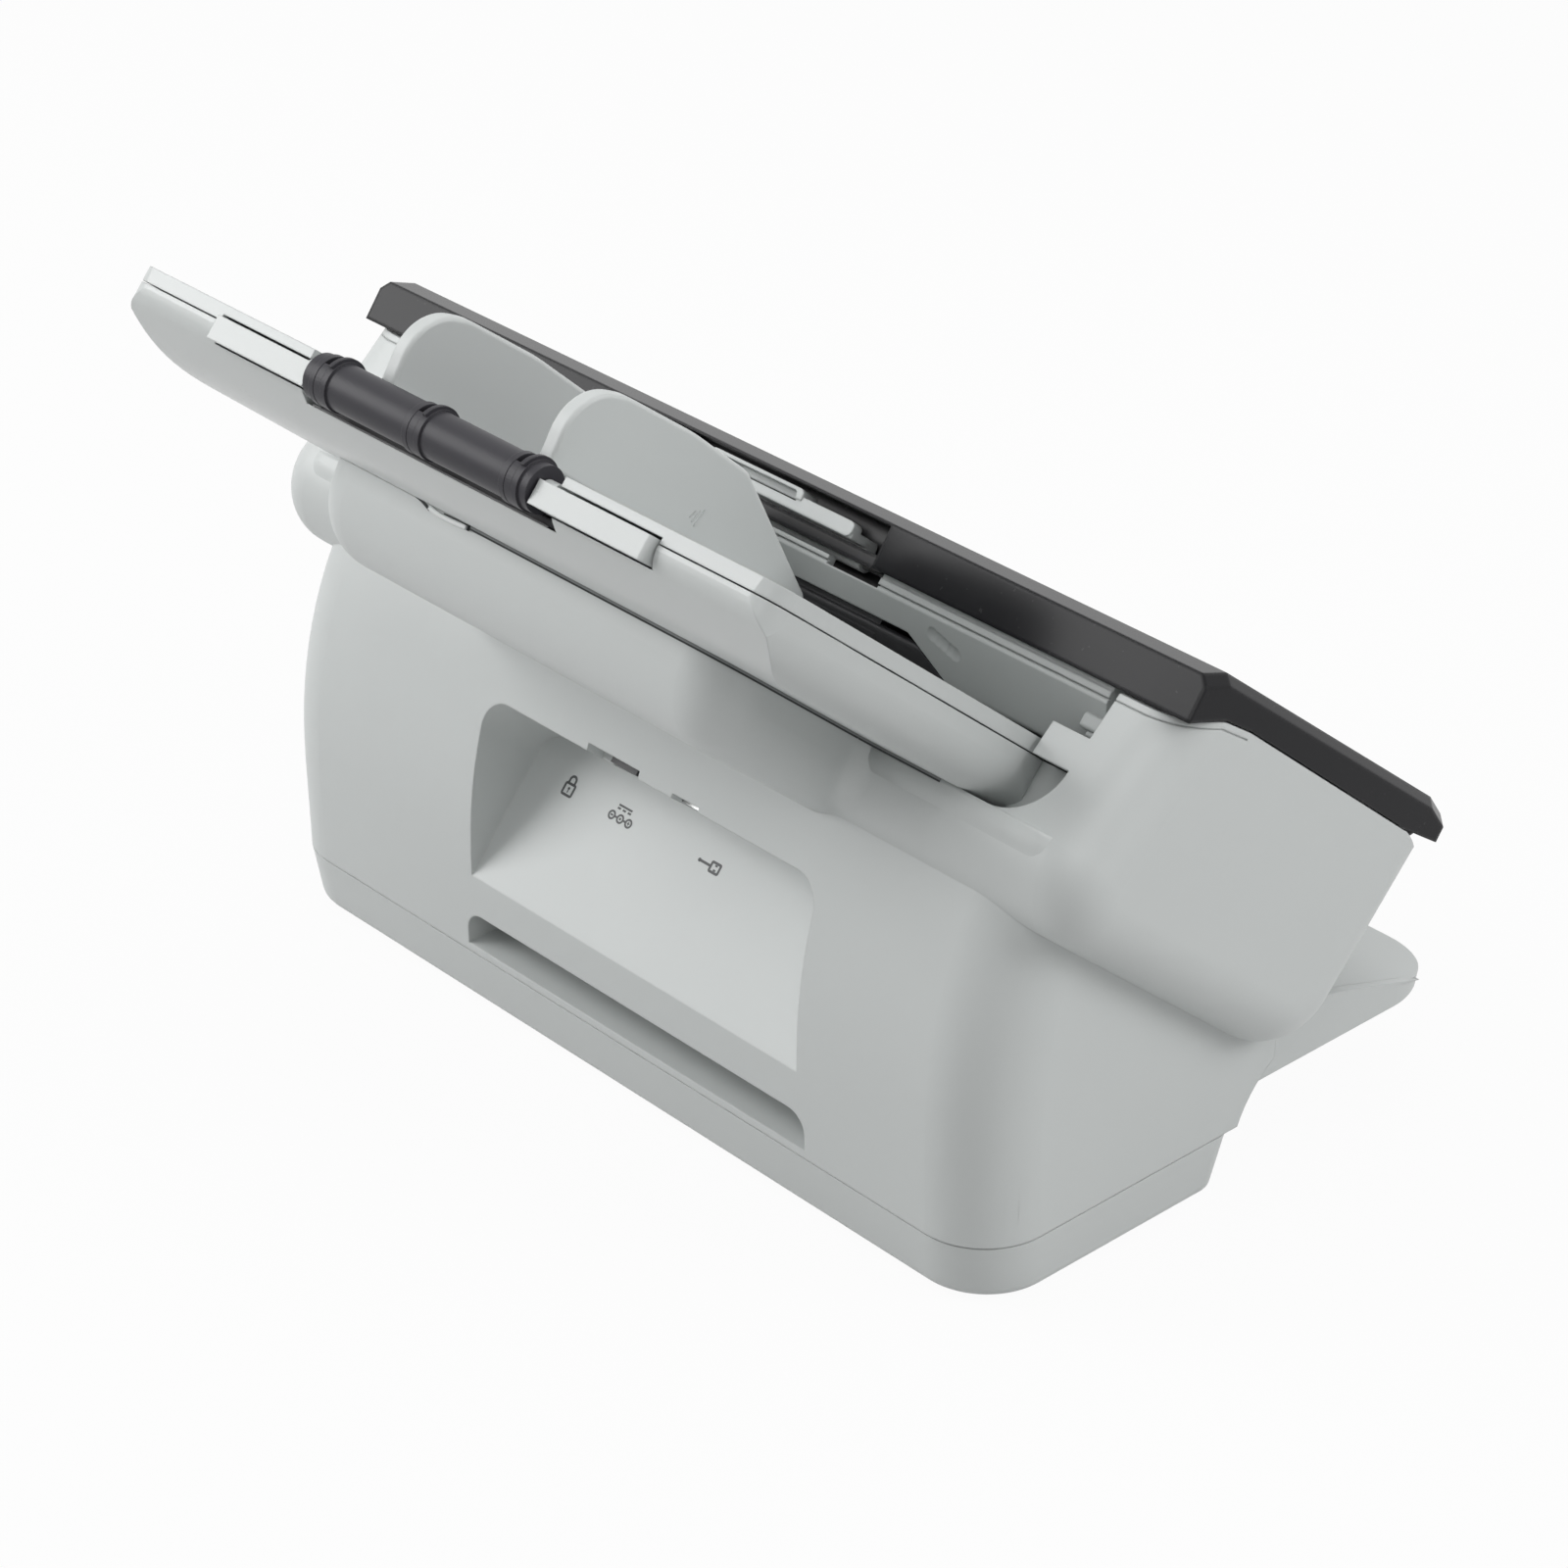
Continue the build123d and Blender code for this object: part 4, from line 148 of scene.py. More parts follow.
# One material, with sizes and depths given in millimetres
class Finish(Shading):
    def __init__(self, name, slot):
        self.slot = slot
        self.material = bpy.data.materials.new(name)
        self.material.use_nodes = True
        super().__init__(self.material.node_tree)
        self.shader = self.tree.nodes["Principled BSDF"]
        self.output = self.tree.nodes["Material Output"]

    def feed(self, values):
        self.fill(self.shader, values)

    def place(self):
        return self.node("ShaderNodeTexCoord", output="Object")

    def vector(self, operation, first, second, output="Vector"):
        return self.node("ShaderNodeVectorMath", {"operation": operation}, {0: first, 1: second}, output)

    def stretched(self, scale):
        return self.vector("MULTIPLY", self.place(), scale)

    def along(self, axis, origin=(0, 0, 0)):
        moved = self.vector("SUBTRACT", self.place(), tuple(origin))
        return self.vector("DOT_PRODUCT", moved, tuple(axis / mm), "Value")

    def noise(self, size, detail=2.0, where=None):
        values = {"Vector": where or self.place(), "Scale": 1 / (size * mm), "Detail": detail, "Roughness": 0.55}
        return self.node("ShaderNodeTexNoise", None, values, "Fac")

    def blend(self, share, first, second):
        first = first if isinstance(first, Wire) else (*first, 1)
        second = second if isinstance(second, Wire) else (*second, 1)
        return self.node("ShaderNodeMix", {"data_type": "RGBA"}, {0: share, 6: first, 7: second}, 2)

    def mixed(self, share, first, second):
        return self.node("ShaderNodeMixShader", None, {0: share, 1: first, 2: second})

    def softEdge(self, radius):
        return self.node("ShaderNodeBevel", {"samples": 4}, {"Radius": radius * mm}, "Normal")

    def edgeMask(self, rounded, gain):
        flat = self.node("ShaderNodeNewGeometry", output="Normal")
        return ((1.0 - self.vector("DOT_PRODUCT", rounded, flat, "Value")) * gain).clamped()

    def bump(self, height, depth, rounded=None):
        values = {"Height": height, "Distance": depth * mm}
        if rounded:
            values["Normal"] = rounded
        return self.node("ShaderNodeBump", None, values)


def toned(colour, share, lift=0.0):
    return tuple(min(1.0, c * share + lift) for c in colour)


# Moulded plastics: spark-eroded grain, faint tone drift, softened edges that catch the light, with edge wear and a
# painted highlight that lightens every edge
moulded = {"edgeGain": 2.5, "driftDetail": 3.0, "grainRough": 0.06, "wornRough": 0.08, "gloss": 0.5}


def mouldedPlastic(name, slot, look):
    finish = Finish(name, slot)
    rounded = finish.softEdge(look["edge"])
    edgeWearAndSheen = finish.edgeMask(rounded, moulded["edgeGain"])
    drift = finish.noise(look["driftSize"], moulded["driftDetail"])
    grain = finish.noise(look["grainSize"])
    tone = finish.blend(drift, toned(look["colour"], 1 - look["drift"]), toned(look["colour"], 1 + look["drift"]))
    # Edge wear and painted highlight: the colour turns lighter along every edge, concave ones too
    tone = finish.blend(edgeWearAndSheen * look["wearAndSheen"], tone, look["wornAndSheenColour"])
    rough = look["rough"] + (drift - 0.5) * look["roughDrift"] + (grain - 0.5) * moulded["grainRough"]
    finish.feed({
        "Base Color": tone,
        "Roughness": rough - edgeWearAndSheen * moulded["wornRough"],
        "Normal": finish.bump(grain, look["grainDepth"], rounded),
        "Specular IOR Level": look.get("gloss", moulded["gloss"]),
    })
    return finish


bodyLook = {"colour": (0.565, 0.588, 0.582), "wornAndSheenColour": (0.66, 0.675, 0.67), "rough": 0.45, "roughDrift": 0.08,
            "drift": 0.012, "driftSize": 70, "grainSize": 0.55, "grainDepth": 0.012, "edge": 0.7, "wearAndSheen": 0.5}
trayLook = dict(bodyLook, colour=(0.525, 0.547, 0.541), wornAndSheenColour=(0.60, 0.615, 0.61), rough=0.3, grainDepth=0.006,
                edge=0.5, gloss=0.4)
# A darker copy of the body plastic for the inner panel: painted shade
shadedPanelLook = dict(bodyLook, colour=(0.42, 0.44, 0.435), wornAndSheenColour=(0.56, 0.575, 0.57))
# A lighter copy of the body plastic for the catch's lip: painted highlight
litLipLook = dict(bodyLook, colour=(0.80, 0.82, 0.815), wornAndSheenColour=(0.85, 0.86, 0.86))
darkLook = {"colour": (0.038, 0.037, 0.043), "wornAndSheenColour": (0.085, 0.085, 0.09), "rough": 0.42, "roughDrift": 0.08,
            "drift": 0.04, "driftSize": 30, "grainSize": 0.5, "grainDepth": 0.010, "edge": 0.35, "wearAndSheen": 0.5,
            "gloss": 0.2}
blackLook = {"colour": (0.020, 0.020, 0.022), "wornAndSheenColour": (0.05, 0.05, 0.05), "rough": 0.5, "roughDrift": 0.1,
             "drift": 0.1, "driftSize": 25, "grainSize": 0.4, "grainDepth": 0.015, "edge": 0.3, "wearAndSheen": 0.5}
gearLook = {"colour": (0.78, 0.77, 0.73), "wornAndSheenColour": (0.86, 0.85, 0.82), "rough": 0.38, "roughDrift": 0.1,
            "drift": 0.02, "driftSize": 12, "grainSize": 0.3, "grainDepth": 0.004, "edge": 0.2, "wearAndSheen": 0.4}
buttonLook = {"colour": (0.42, 0.43, 0.44), "wornAndSheenColour": (0.55, 0.56, 0.57), "rough": 0.36, "roughDrift": 0.06,
              "drift": 0.02, "driftSize": 9, "grainSize": 0.35, "grainDepth": 0.006, "edge": 0.3, "wearAndSheen": 0.5}

bodyPlastic = mouldedPlastic("bodyPlastic", "body_plastic", bodyLook)
trayPlastic = mouldedPlastic("trayPlastic", "body_plastic", trayLook)
shadedPanelPlastic = mouldedPlastic("shadedPanelPlastic", "body_plastic", shadedPanelLook)
litLipPlastic = mouldedPlastic("litLipPlastic", "body_plastic", litLipLook)
darkPlastic = mouldedPlastic("darkPlastic", "dark_plastic", darkLook)
blackPlastic = mouldedPlastic("blackPlastic", "black_plastic", blackLook)
gearPlastic = mouldedPlastic("gearPlastic", "white_plastic", gearLook)
buttonPlastic = mouldedPlastic("buttonPlastic", "button_plastic", buttonLook)


# The cover's polished black, with faint smears, fine hairlines and specks of dust in its gloss
coverLook = {"colour": (0.009, 0.009, 0.0105), "rough": 0.13, "gloss": 0.14, "edge": 1.4,
             "smearSize": 38, "smearDetail": 4.0, "smearRough": 0.06,
             "hairSize": 0.7, "hairStretch": (0.03, 1, 1), "hairRough": 0.04, "hairDepth": 0.0008,
             "dustSize": 1.6, "dustLimit": 0.745, "dustShare": 0.05, "dustColour": (0.3, 0.3, 0.3)}


def makeCoverPlastic():
    finish = Finish("coverPlastic", "cover_plastic")
    rounded = finish.softEdge(coverLook["edge"])
    smear = finish.noise(coverLook["smearSize"], coverLook["smearDetail"])
    hair = finish.noise(coverLook["hairSize"], where=finish.stretched(coverLook["hairStretch"]))
    dust = finish.noise(coverLook["dustSize"], 1.0).above(coverLook["dustLimit"])
    finish.feed({
        "Base Color": finish.blend(dust * coverLook["dustShare"], coverLook["colour"], coverLook["dustColour"]),
        "Roughness": coverLook["rough"] + smear * coverLook["smearRough"] + hair * coverLook["hairRough"],
        "Normal": finish.bump(hair, coverLook["hairDepth"], rounded),
        "Specular IOR Level": coverLook["gloss"],
    })
    return finish


coverPlastic = makeCoverPlastic()


# Rubber of the tyres and feet: matt, grooved, dusted with paper fibre
rubberLook = {"colour": (0.045, 0.045, 0.048), "dustColour": (0.16, 0.16, 0.155), "dustSize": 3.0, "dustDetail": 4.0,
              "dustShare": 0.5, "rough": 0.78, "grainSize": 0.35, "grainDetail": 3.0, "grainRough": 0.15,
              "grainHeight": 0.6, "grooveTurn": 5.7, "grooveHeight": 0.2, "depth": 0.05, "edge": 0.3}


def makeRubber():
    finish = Finish("rubber", "rubber")
    dust = finish.noise(rubberLook["dustSize"], rubberLook["dustDetail"])
    dusted = (dust * dust * rubberLook["dustShare"]).clamped()
    grain = finish.noise(rubberLook["grainSize"], rubberLook["grainDetail"])
    groove = (finish.along(acrossDir) * rubberLook["grooveTurn"]).sine()  # radians per millimetre across
    height = grain * rubberLook["grainHeight"] + groove * rubberLook["grooveHeight"]
    finish.feed({
        "Base Color": finish.blend(dusted, rubberLook["colour"], rubberLook["dustColour"]),
        "Roughness": rubberLook["rough"] + (grain - 0.5) * rubberLook["grainRough"],
        "Normal": finish.bump(height, rubberLook["depth"], finish.softEdge(rubberLook["edge"])),
    })
    return finish


rubber = makeRubber()


# Turned and rolled metal, with streaks across its length
metalGrain = {"streakSize": 0.5, "stainSize": 6.0, "detail": 3.0, "share": 0.5, "streakRough": 0.14,
              "stainRough": 0.05, "depth": 0.004, "edge": 0.15}


def metal(name, slot, look):
    finish = Finish(name, slot)
    streak = finish.noise(metalGrain["streakSize"], metalGrain["detail"], finish.stretched(look["streak"]))
    stain = finish.noise(metalGrain["stainSize"], metalGrain["detail"])
    share = streak * metalGrain["share"] + stain * (1 - metalGrain["share"])
    finish.feed({
        "Base Color": finish.blend(share, look["dark"], look["light"]),
        "Metallic": 1.0,
        "Roughness": look["rough"] + streak * metalGrain["streakRough"] + stain * metalGrain["stainRough"],
        "Normal": finish.bump(streak, metalGrain["depth"], finish.softEdge(metalGrain["edge"])),
    })
    return finish


steel = metal("steel", "steel", {"dark": (0.42, 0.42, 0.43), "light": (0.62, 0.62, 0.62), "rough": 0.24,
                                 "streak": (6.0, 0.6, 0.6)})
zincPlate = metal("zincPlate", "steel", {"dark": (0.46, 0.47, 0.48), "light": (0.66, 0.66, 0.64), "rough": 0.34,
                                         "streak": (1.0, 0.15, 1.0)})
bronze = metal("bronze", "bronze", {"dark": (0.42, 0.25, 0.11), "light": (0.62, 0.42, 0.22), "rough": 0.36,
                                    "streak": (1.0, 1.0, 1.0)})


# Sensor glass and display window, with a faint haze
haze = {"size": 9, "detail": 3.0, "tone": 0.97, "rough": 0.02, "bending": 1.5}


def clearPart(name, slot, tint, rough):
    finish = Finish(name, slot)
    patchy = finish.noise(haze["size"], haze["detail"])
    finish.feed({
        "Base Color": finish.blend(patchy, toned(tint, haze["tone"]), tint),
        "Roughness": rough + patchy * haze["rough"],
        "Transmission Weight": 1.0,
        "IOR": haze["bending"],
    })
    return finish


sensorGlass = clearPart("sensorGlass", "glass", (0.90, 0.96, 0.94), 0.01)
displayWindowGlass = clearPart("displayWindowGlass", "window", (0.72, 0.74, 0.76), 0.03)


# Circuit boards: solder mask with straight and slanting traces in patches, and round pads
boardLook = {"mask": (0.020, 0.115, 0.055), "trace": (0.035, 0.19, 0.09), "pad": (0.62, 0.56, 0.36),
             "lane": 0.9, "laneLimit": 0.62, "slant": (0.6, 0.4), "slantLane": 1.3, "slantLimit": 1.05,
             "patchSize": 9.0, "patchLimit": 0.52, "padScale": 260.0, "padLimit": 0.22, "padShare": 0.8,
             "rough": 0.42, "traceRough": 0.08, "padRough": 0.1, "padMetal": 0.7, "traceHeight": 0.6, "depth": 0.03}


def makeBoard():
    finish = Finish("circuitBoard", "board")
    x = finish.along(acrossDir)
    s = finish.along(alongDir)
    straight = s.pingPong(boardLook["lane"]).above(boardLook["laneLimit"])
    leaning = x * boardLook["slant"][0] + s * boardLook["slant"][1]
    slanting = leaning.pingPong(boardLook["slantLane"]).above(boardLook["slantLimit"])
    patch = finish.noise(boardLook["patchSize"], 1.0).above(boardLook["patchLimit"])
    trace = (straight * patch + slanting * (1.0 - patch)).clamped()
    cells = {"Vector": finish.place(), "Scale": boardLook["padScale"]}
    dots = finish.node("ShaderNodeTexVoronoi", {"feature": "F1"}, cells, "Distance")
    pads = 1.0 - dots.above(boardLook["padLimit"])
    tone = finish.blend(trace, boardLook["mask"], boardLook["trace"])
    finish.feed({
        "Base Color": finish.blend(pads * boardLook["padShare"], tone, boardLook["pad"]),
        "Roughness": boardLook["rough"] - trace * boardLook["traceRough"] - pads * boardLook["padRough"],
        "Metallic": pads * boardLook["padMetal"],
        "Normal": finish.bump(trace * boardLook["traceHeight"] + pads, boardLook["depth"]),
    })
    return finish


circuitBoard = makeBoard()


# Image sensors: black housing with the lens array and its light guide along the middle
sensorLook = {"middle": (0, -10.5, 128.0), "black": (0.016, 0.016, 0.018), "grainSize": 0.4, "grainRough": 0.08,
              "grainHeight": 0.2, "lens": (0.22, 0.20, 0.16), "lensHalf": 0.7, "lensRough": 0.35, "rodPitch": 0.3,
              "guide": (0.60, 0.63, 0.60), "guideAt": 3.4, "guideHalf": 1.3, "guideShare": 0.9, "guideRough": 0.3,
              "rough": 0.55, "depth": 0.06}


def makeSensorHousing():
    finish = Finish("sensorHousing", "black_plastic")
    across = finish.along(alongDir, onPath(*sensorLook["middle"]))
    grain = finish.noise(sensorLook["grainSize"])
    lens = 1.0 - abs(across).above(sensorLook["lensHalf"])
    guide = (1.0 - abs(across - sensorLook["guideAt"]).above(sensorLook["guideHalf"])).clamped()
    rods = finish.along(acrossDir).pingPong(sensorLook["rodPitch"])
    tone = finish.blend(lens, sensorLook["black"], sensorLook["lens"])
    shine = lens * sensorLook["lensRough"] + guide * sensorLook["guideRough"]
    finish.feed({
        "Base Color": finish.blend(guide * sensorLook["guideShare"], tone, sensorLook["guide"]),
        "Roughness": sensorLook["rough"] - shine + grain * sensorLook["grainRough"],
        "Normal": finish.bump(rods * lens + grain * sensorLook["grainHeight"], sensorLook["depth"]),
    })
    return finish


sensorHousing = makeSensorHousing()

finishOf = {
    "main_housing": bodyPlastic, "base_cover": bodyPlastic, "inner_panel": shadedPanelPlastic, "latch_lever": bodyPlastic,
    "output_tray": bodyPlastic, "output_extension": bodyPlastic, "output_stop": bodyPlastic,
    "paper_guide_right": bodyPlastic, "paper_guide_left": bodyPlastic,
    "tray_plate": trayPlastic, "tray_shell": trayPlastic, "tray_extension": trayPlastic,
    "front_cover": coverPlastic, "lower_guide": darkPlastic, "flip_piece": darkPlastic,
    "lower_image_sensor": sensorHousing, "upper_image_sensor": sensorHousing,
    "paper_sensor_lever": blackPlastic, "sensor_bracket": blackPlastic, "power_inlet": blackPlastic,
    "roller_cover": blackPlastic,
    "feed_gear": gearPlastic, "idler_gear": gearPlastic, "pick_gear": gearPlastic, "exit_pulley": gearPlastic,
    "feed_pinch_rollers": gearPlastic, "exit_pinch_rollers": gearPlastic, "guide_pinion": gearPlastic,
    "start_button": buttonPlastic, "stop_button": buttonPlastic, "power_button": buttonPlastic,
    "scroll_rocker": buttonPlastic,
    "rubber_feet": rubber, "pick_roller_tyres": rubber, "feed_roller_tyres": rubber, "exit_roller_tyres": rubber,
    "drive_belt": rubber, "separation_roller": rubber,
    "base_screws": steel, "frame_screws": steel, "pick_roller_shaft": steel, "feed_roller_shaft": steel,
    "exit_roller_shaft": steel, "idler_pin": steel, "motor_pinion": steel, "door_hinge_pins": steel,
    "flip_pin": steel, "side_frame_left": zincPlate, "side_frame_right": zincPlate, "drive_motor": zincPlate,
    "data_port": zincPlate, "lock_plate": zincPlate, "pinch_springs": zincPlate, "latch_hooks": zincPlate,
    "shaft_bushings": bronze, "lower_sensor_glass": sensorGlass, "upper_sensor_glass": sensorGlass,
    "display_window": displayWindowGlass, "main_board": circuitBoard, "control_board": circuitBoard,
}
for name, part in nodes.items():
    part.data.materials.clear()
    part.data.materials.append(finishOf[name].material)
print("finishes on all parts")


# Building blocks of the small pieces
def joined(mesh, rings, closed=False):
    # walls from each ring of vertices to the next, and a cap on both ends of an open row
    following = rings[1:] + rings[:1] if closed else rings[1:]
    for first, second in zip(rings, following):
        for i in range(len(first)):
            j = (i + 1) % len(first)
            mesh.faces.new((first[i], first[j], second[j], second[i]))
    if not closed:
        mesh.faces.new(rings[0][::-1])
        mesh.faces.new(rings[-1])


def slab(mesh, x, s, n):
    # a bar square to the paper path, given as three (low, high) pairs
    corners = ((s[0], n[0]), (s[1], n[0]), (s[1], n[1]), (s[0], n[1]))
    joined(mesh, [[mesh.verts.new(onPath(side, *corner)) for corner in corners] for side in x])


def ringSector(mesh, x, s, n, inner, outer, start, end, steps=18):
    # part of a ring about a line across the path; the angle counts from s towards n
    rings = []
    for i in range(steps + 1):
        turn = math.radians(start + (end - start) * i / steps)
        rings.append([mesh.verts.new(onPath(side, s + radius * math.cos(turn), n + radius * math.sin(turn)))
                      for side, radius in ((x[0], inner), (x[1], inner), (x[1], outer), (x[0], outer))])
    joined(mesh, rings)


def meshFrom(mesh, name):
    data = bpy.data.meshes.new(name)
    mesh.to_mesh(data)
    mesh.free()
    return data


def pieceFrom(mesh, name, body, finish):
    bmesh.ops.recalc_face_normals(mesh, faces=mesh.faces)
    piece = placed(name, meshFrom(mesh, name))
    piece.data.materials.append(finish.material)
    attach(piece, body)
    return piece


# Marks on one plane of the part: flat lines and areas of one height, in millimetres along right and up
class Marks:
    def __init__(self, corner, right, up, height):
        self.mesh = bmesh.new()
        self.corner = corner
        self.axes = right, up, right.cross(up)
        self.height = height

    def vertex(self, x, y, level):
        right, up, out = self.axes
        return self.mesh.verts.new(self.corner + (right * x + up * y + out * level) * mm)

    def line(self, points, width, closed=False):
        count = len(points)
        rings = []
        for i in range(count):
            here = Vector(points[i])
            if closed:
                before, after = Vector(points[i - 1]), Vector(points[(i + 1) % count])
            else:
                before, after = Vector(points[max(i - 1, 0)]), Vector(points[min(i + 1, count - 1)])
            toHere = here - before if i or closed else after - here
            fromHere = after - here if i < count - 1 or closed else here - before
            mean = (toHere.normalized() + fromHere.normalized()).normalized()
            side = Vector((-mean.y, mean.x))
            reach = width / 2 / max(0.4, mean.dot(fromHere.normalized()))  # no long spikes at sharp corners
            rings.append([self.vertex(*(here + side * offset), level) for offset, level in
                          ((reach, 0), (-reach, 0), (-reach, self.height), (reach, self.height))])
        joined(self.mesh, rings, closed)

    def area(self, points, height=None):
        top = height or self.height
        joined(self.mesh, [[self.vertex(x, y, level) for x, y in points] for level in (0, top)])

    def done(self, name, body, finish):
        pieceFrom(self.mesh, name, body, finish)


def circle(x, y, radius, steps=28, start=0.0, turn=360.0):
    last = steps if turn >= 360 else steps + 1
    return [(x + radius * math.cos(math.radians(start + turn * i / steps)),
             y + radius * math.sin(math.radians(start + turn * i / steps))) for i in range(last)]


def roundedRectangle(width, height, corner, x=0.0, y=0.0, steps=5):
    points = []
    for cx, cy, start in ((1, 1, 0), (-1, 1, 90), (-1, -1, 180), (1, -1, 270)):
        for i in range(steps + 1):
            turn = math.radians(start + 90 * i / steps)
            points.append((x + cx * (width / 2 - corner) + corner * math.cos(turn),
                           y + cy * (height / 2 - corner) + corner * math.sin(turn)))
    return points


def box(left, low, right, high):
    return [(left, low), (right, low), (right, high), (left, high)]


def plusSign(x, reach, half):
    arms = ((-reach, -half), (-half, -half), (-half, -reach), (half, -reach), (half, -half), (reach, -half))
    return [(x + a, b) for a, b in arms] + [(x - a, -b) for a, b in arms]


# Ink, and the painted shade of narrow gaps, slightly uneven
inkAndShadeLook = {"patchSize": 0.8, "detail": 3.0, "spread": 1.25, "lift": 0.01, "roughSpread": 0.12}


def inkAndShadeFinish(name, slot, colour, rough):
    finish = Finish(name, slot)
    patchy = finish.noise(inkAndShadeLook["patchSize"], inkAndShadeLook["detail"])
    finish.feed({
        "Base Color": finish.blend(patchy, colour, toned(colour, inkAndShadeLook["spread"], inkAndShadeLook["lift"])),
        "Roughness": rough + (patchy - 0.5) * inkAndShadeLook["roughSpread"],
    })
    return finish


darkInk = inkAndShadeFinish("darkInk", "dark_plastic", (0.040, 0.043, 0.045), 0.5)
# Painted shade: dark strips and patches that stand for the shadow in gaps and notches, and a grey band of painted
# shade
gapShadowPaint = inkAndShadeFinish("gapShadowPaint", "dark_plastic", (0.035, 0.038, 0.038), 0.9)
gapShade = inkAndShadeFinish("gapShade", "body_plastic", (0.20, 0.21, 0.21), 0.9)


# Symbols printed in the socket recess: padlock, power plug with its polarity, data plug
recessMarks = {"face": 29.02, "ink": 0.03, "line": 0.72, "fine": 0.576, "finest": 0.504}
lockMark = {"x": 38.0, "n": 64.0, "case": (3.6, 3.2, 0.4, 0, -1.2), "foot": 0.4, "arc": (0, 1.5, 1.1, 12, 180, -180),
            "hole": (0, -0.9, 0.42, 16), "slit": (-0.18, -2.1, 0.18, -1.35)}
powerMark = {"x": 17.0, "n": 62.8, "rings": (-3.3, 0.0, 3.3), "radius": 1.05, "links": (-1.65, 1.65),
             "linkHalf": 0.42, "middle": (0, 0, 0.4, 14), "minus": [(-3.8, 0), (-2.8, 0)], "plus": (3.3, 0.55, 0.15),
             "bar": [(-2.6, 3.3), (2.6, 3.3)], "dashes": (-2.0, 0.0, 2.0), "dashHalf": 0.6, "dashLevel": 2.4}
dataMark = {"x": -18.0, "n": 64.0, "case": (3.2, 2.6, 0.3, 1.6, 0), "cord": [(-4.2, 0), (-0.25, 0)],
            "end": (-4.3, 0, 0.55, 14), "prongs": ((1.3, -0.9, 2.2, -0.4), (1.3, 0.4, 2.2, 0.9))}


def recessMark(mark):
    return Marks(onPath(mark["x"], recessMarks["face"], mark["n"]), -acrossDir, outDir, recessMarks["ink"])


def makeRecessMarks():
    line, fine = recessMarks["line"], recessMarks["fine"]

    lock = recessMark(lockMark)
    lock.line(roundedRectangle(*lockMark["case"]), line, True)
    arc = circle(*lockMark["arc"])
    lock.line([(arc[0][0], lockMark["foot"])] + arc + [(arc[-1][0], lockMark["foot"])], line)
    lock.area(circle(*lockMark["hole"]))
    lock.area(box(*lockMark["slit"]))
    lock.done("lockMark", "housing", darkInk)

    power = recessMark(powerMark)
    for x in powerMark["rings"]:
        power.line(circle(x, 0, powerMark["radius"]), fine, True)
    for x in powerMark["links"]:
        power.line([(x - powerMark["linkHalf"], 0), (x + powerMark["linkHalf"], 0)], fine)
    power.area(circle(*powerMark["middle"]))
    power.line(powerMark["minus"], recessMarks["finest"])
    power.area(plusSign(*powerMark["plus"]))
    power.line(powerMark["bar"], fine)
    for x in powerMark["dashes"]:
        power.line([(x + side * powerMark["dashHalf"], powerMark["dashLevel"]) for side in (-1, 1)], fine)
    power.done("powerMark", "housing", darkInk)

    data = recessMark(dataMark)
    data.line(roundedRectangle(*dataMark["case"]), line, True)
    data.line(dataMark["cord"], line)
    data.area(circle(*dataMark["end"]))
    for prong in dataMark["prongs"]:
        data.area(box(*prong))
    data.done("dataMark", "housing", darkInk)


makeRecessMarks()


# Symbols on the keys and the rocker
keyMarks = {"proud": 0.69, "line": 0.55, "ink": 0.05, "start": -62.0, "stop": -92.0, "power": -126.0, "rocker": 78.0,
            "triangle": [(-2.0, -2.9), (3.1, 0.0), (-2.0, 2.9)], "square": (4.4, 4.4, 0.3),
            "arc": (0, -0.2, 2.2, 24, 125, 290), "stroke": [(0, 0.2), (0, 2.5)],
            "arrow": [(-1.6, 6.4), (1.6, 6.4), (0.0, 9.0)]}


def keyMark(key):
    return Marks(onLid(keyMarks[key], 0, keyMarks["proud"]), acrossDir, lidAlong, keyMarks["ink"])


def makeKeyMarks():
    start = keyMark("start")
    start.area(keyMarks["triangle"])
    start.done("startMark", "start_key", darkInk)

    stop = keyMark("stop")
    stop.area(roundedRectangle(*keyMarks["square"]))
    stop.done("stopMark", "stop_key", darkInk)

    power = keyMark("power")
    power.line(circle(*keyMarks["arc"]), keyMarks["line"])
    power.line(keyMarks["stroke"], keyMarks["line"])
    power.done("powerKeyMark", "power_key", darkInk)

    rocker = keyMark("rocker")
    for side in (1, -1):
        rocker.area([(x, side * y) for x, y in keyMarks["arrow"]])
    rocker.done("rockerMarks", "rocker", darkInk)


makeKeyMarks()


# The flip piece's barrel: ribs that are notched at the top only, with a hooked rim beside each notch
flip = {"s": 172.5, "n": 125.5, "ribs": (-36.0, 0.0, 36.0), "notchHalf": 1.25, "core": 4.65, "rib": 6.42,
        "hook": 7.2, "hookFoot": 5.82, "hookFrom": 1.3, "hookTo": 2.5, "filled": (-100.0, 28.0),
        "hooked": (22.0, 125.0)}


def makeFlipRibs():
    fill, hooks = bmesh.new(), bmesh.new()
    for x in flip["ribs"]:
        ringSector(fill, (x - flip["notchHalf"], x + flip["notchHalf"]), flip["s"], flip["n"],
                   flip["core"], flip["rib"], *flip["filled"])
        ringSector(hooks, (x - flip["hookTo"], x - flip["hookFrom"]), flip["s"], flip["n"],
                   flip["hookFoot"], flip["hook"], *flip["hooked"])
    pieceFrom(fill, "flipRibs", "flip_stop", darkPlastic)
    pieceFrom(hooks, "flipHooks", "flip_stop", darkPlastic)


makeFlipRibs()


# The dark bed under the barrel, with a black strip of painted shadow along its edge
flipBed = {"across": (-44.5, 44.5), "wall": (165.35, 165.75), "rise": (118.3, 120.35), "edge": 168.5,
           "shadowStrip": (118.22, 118.7)}


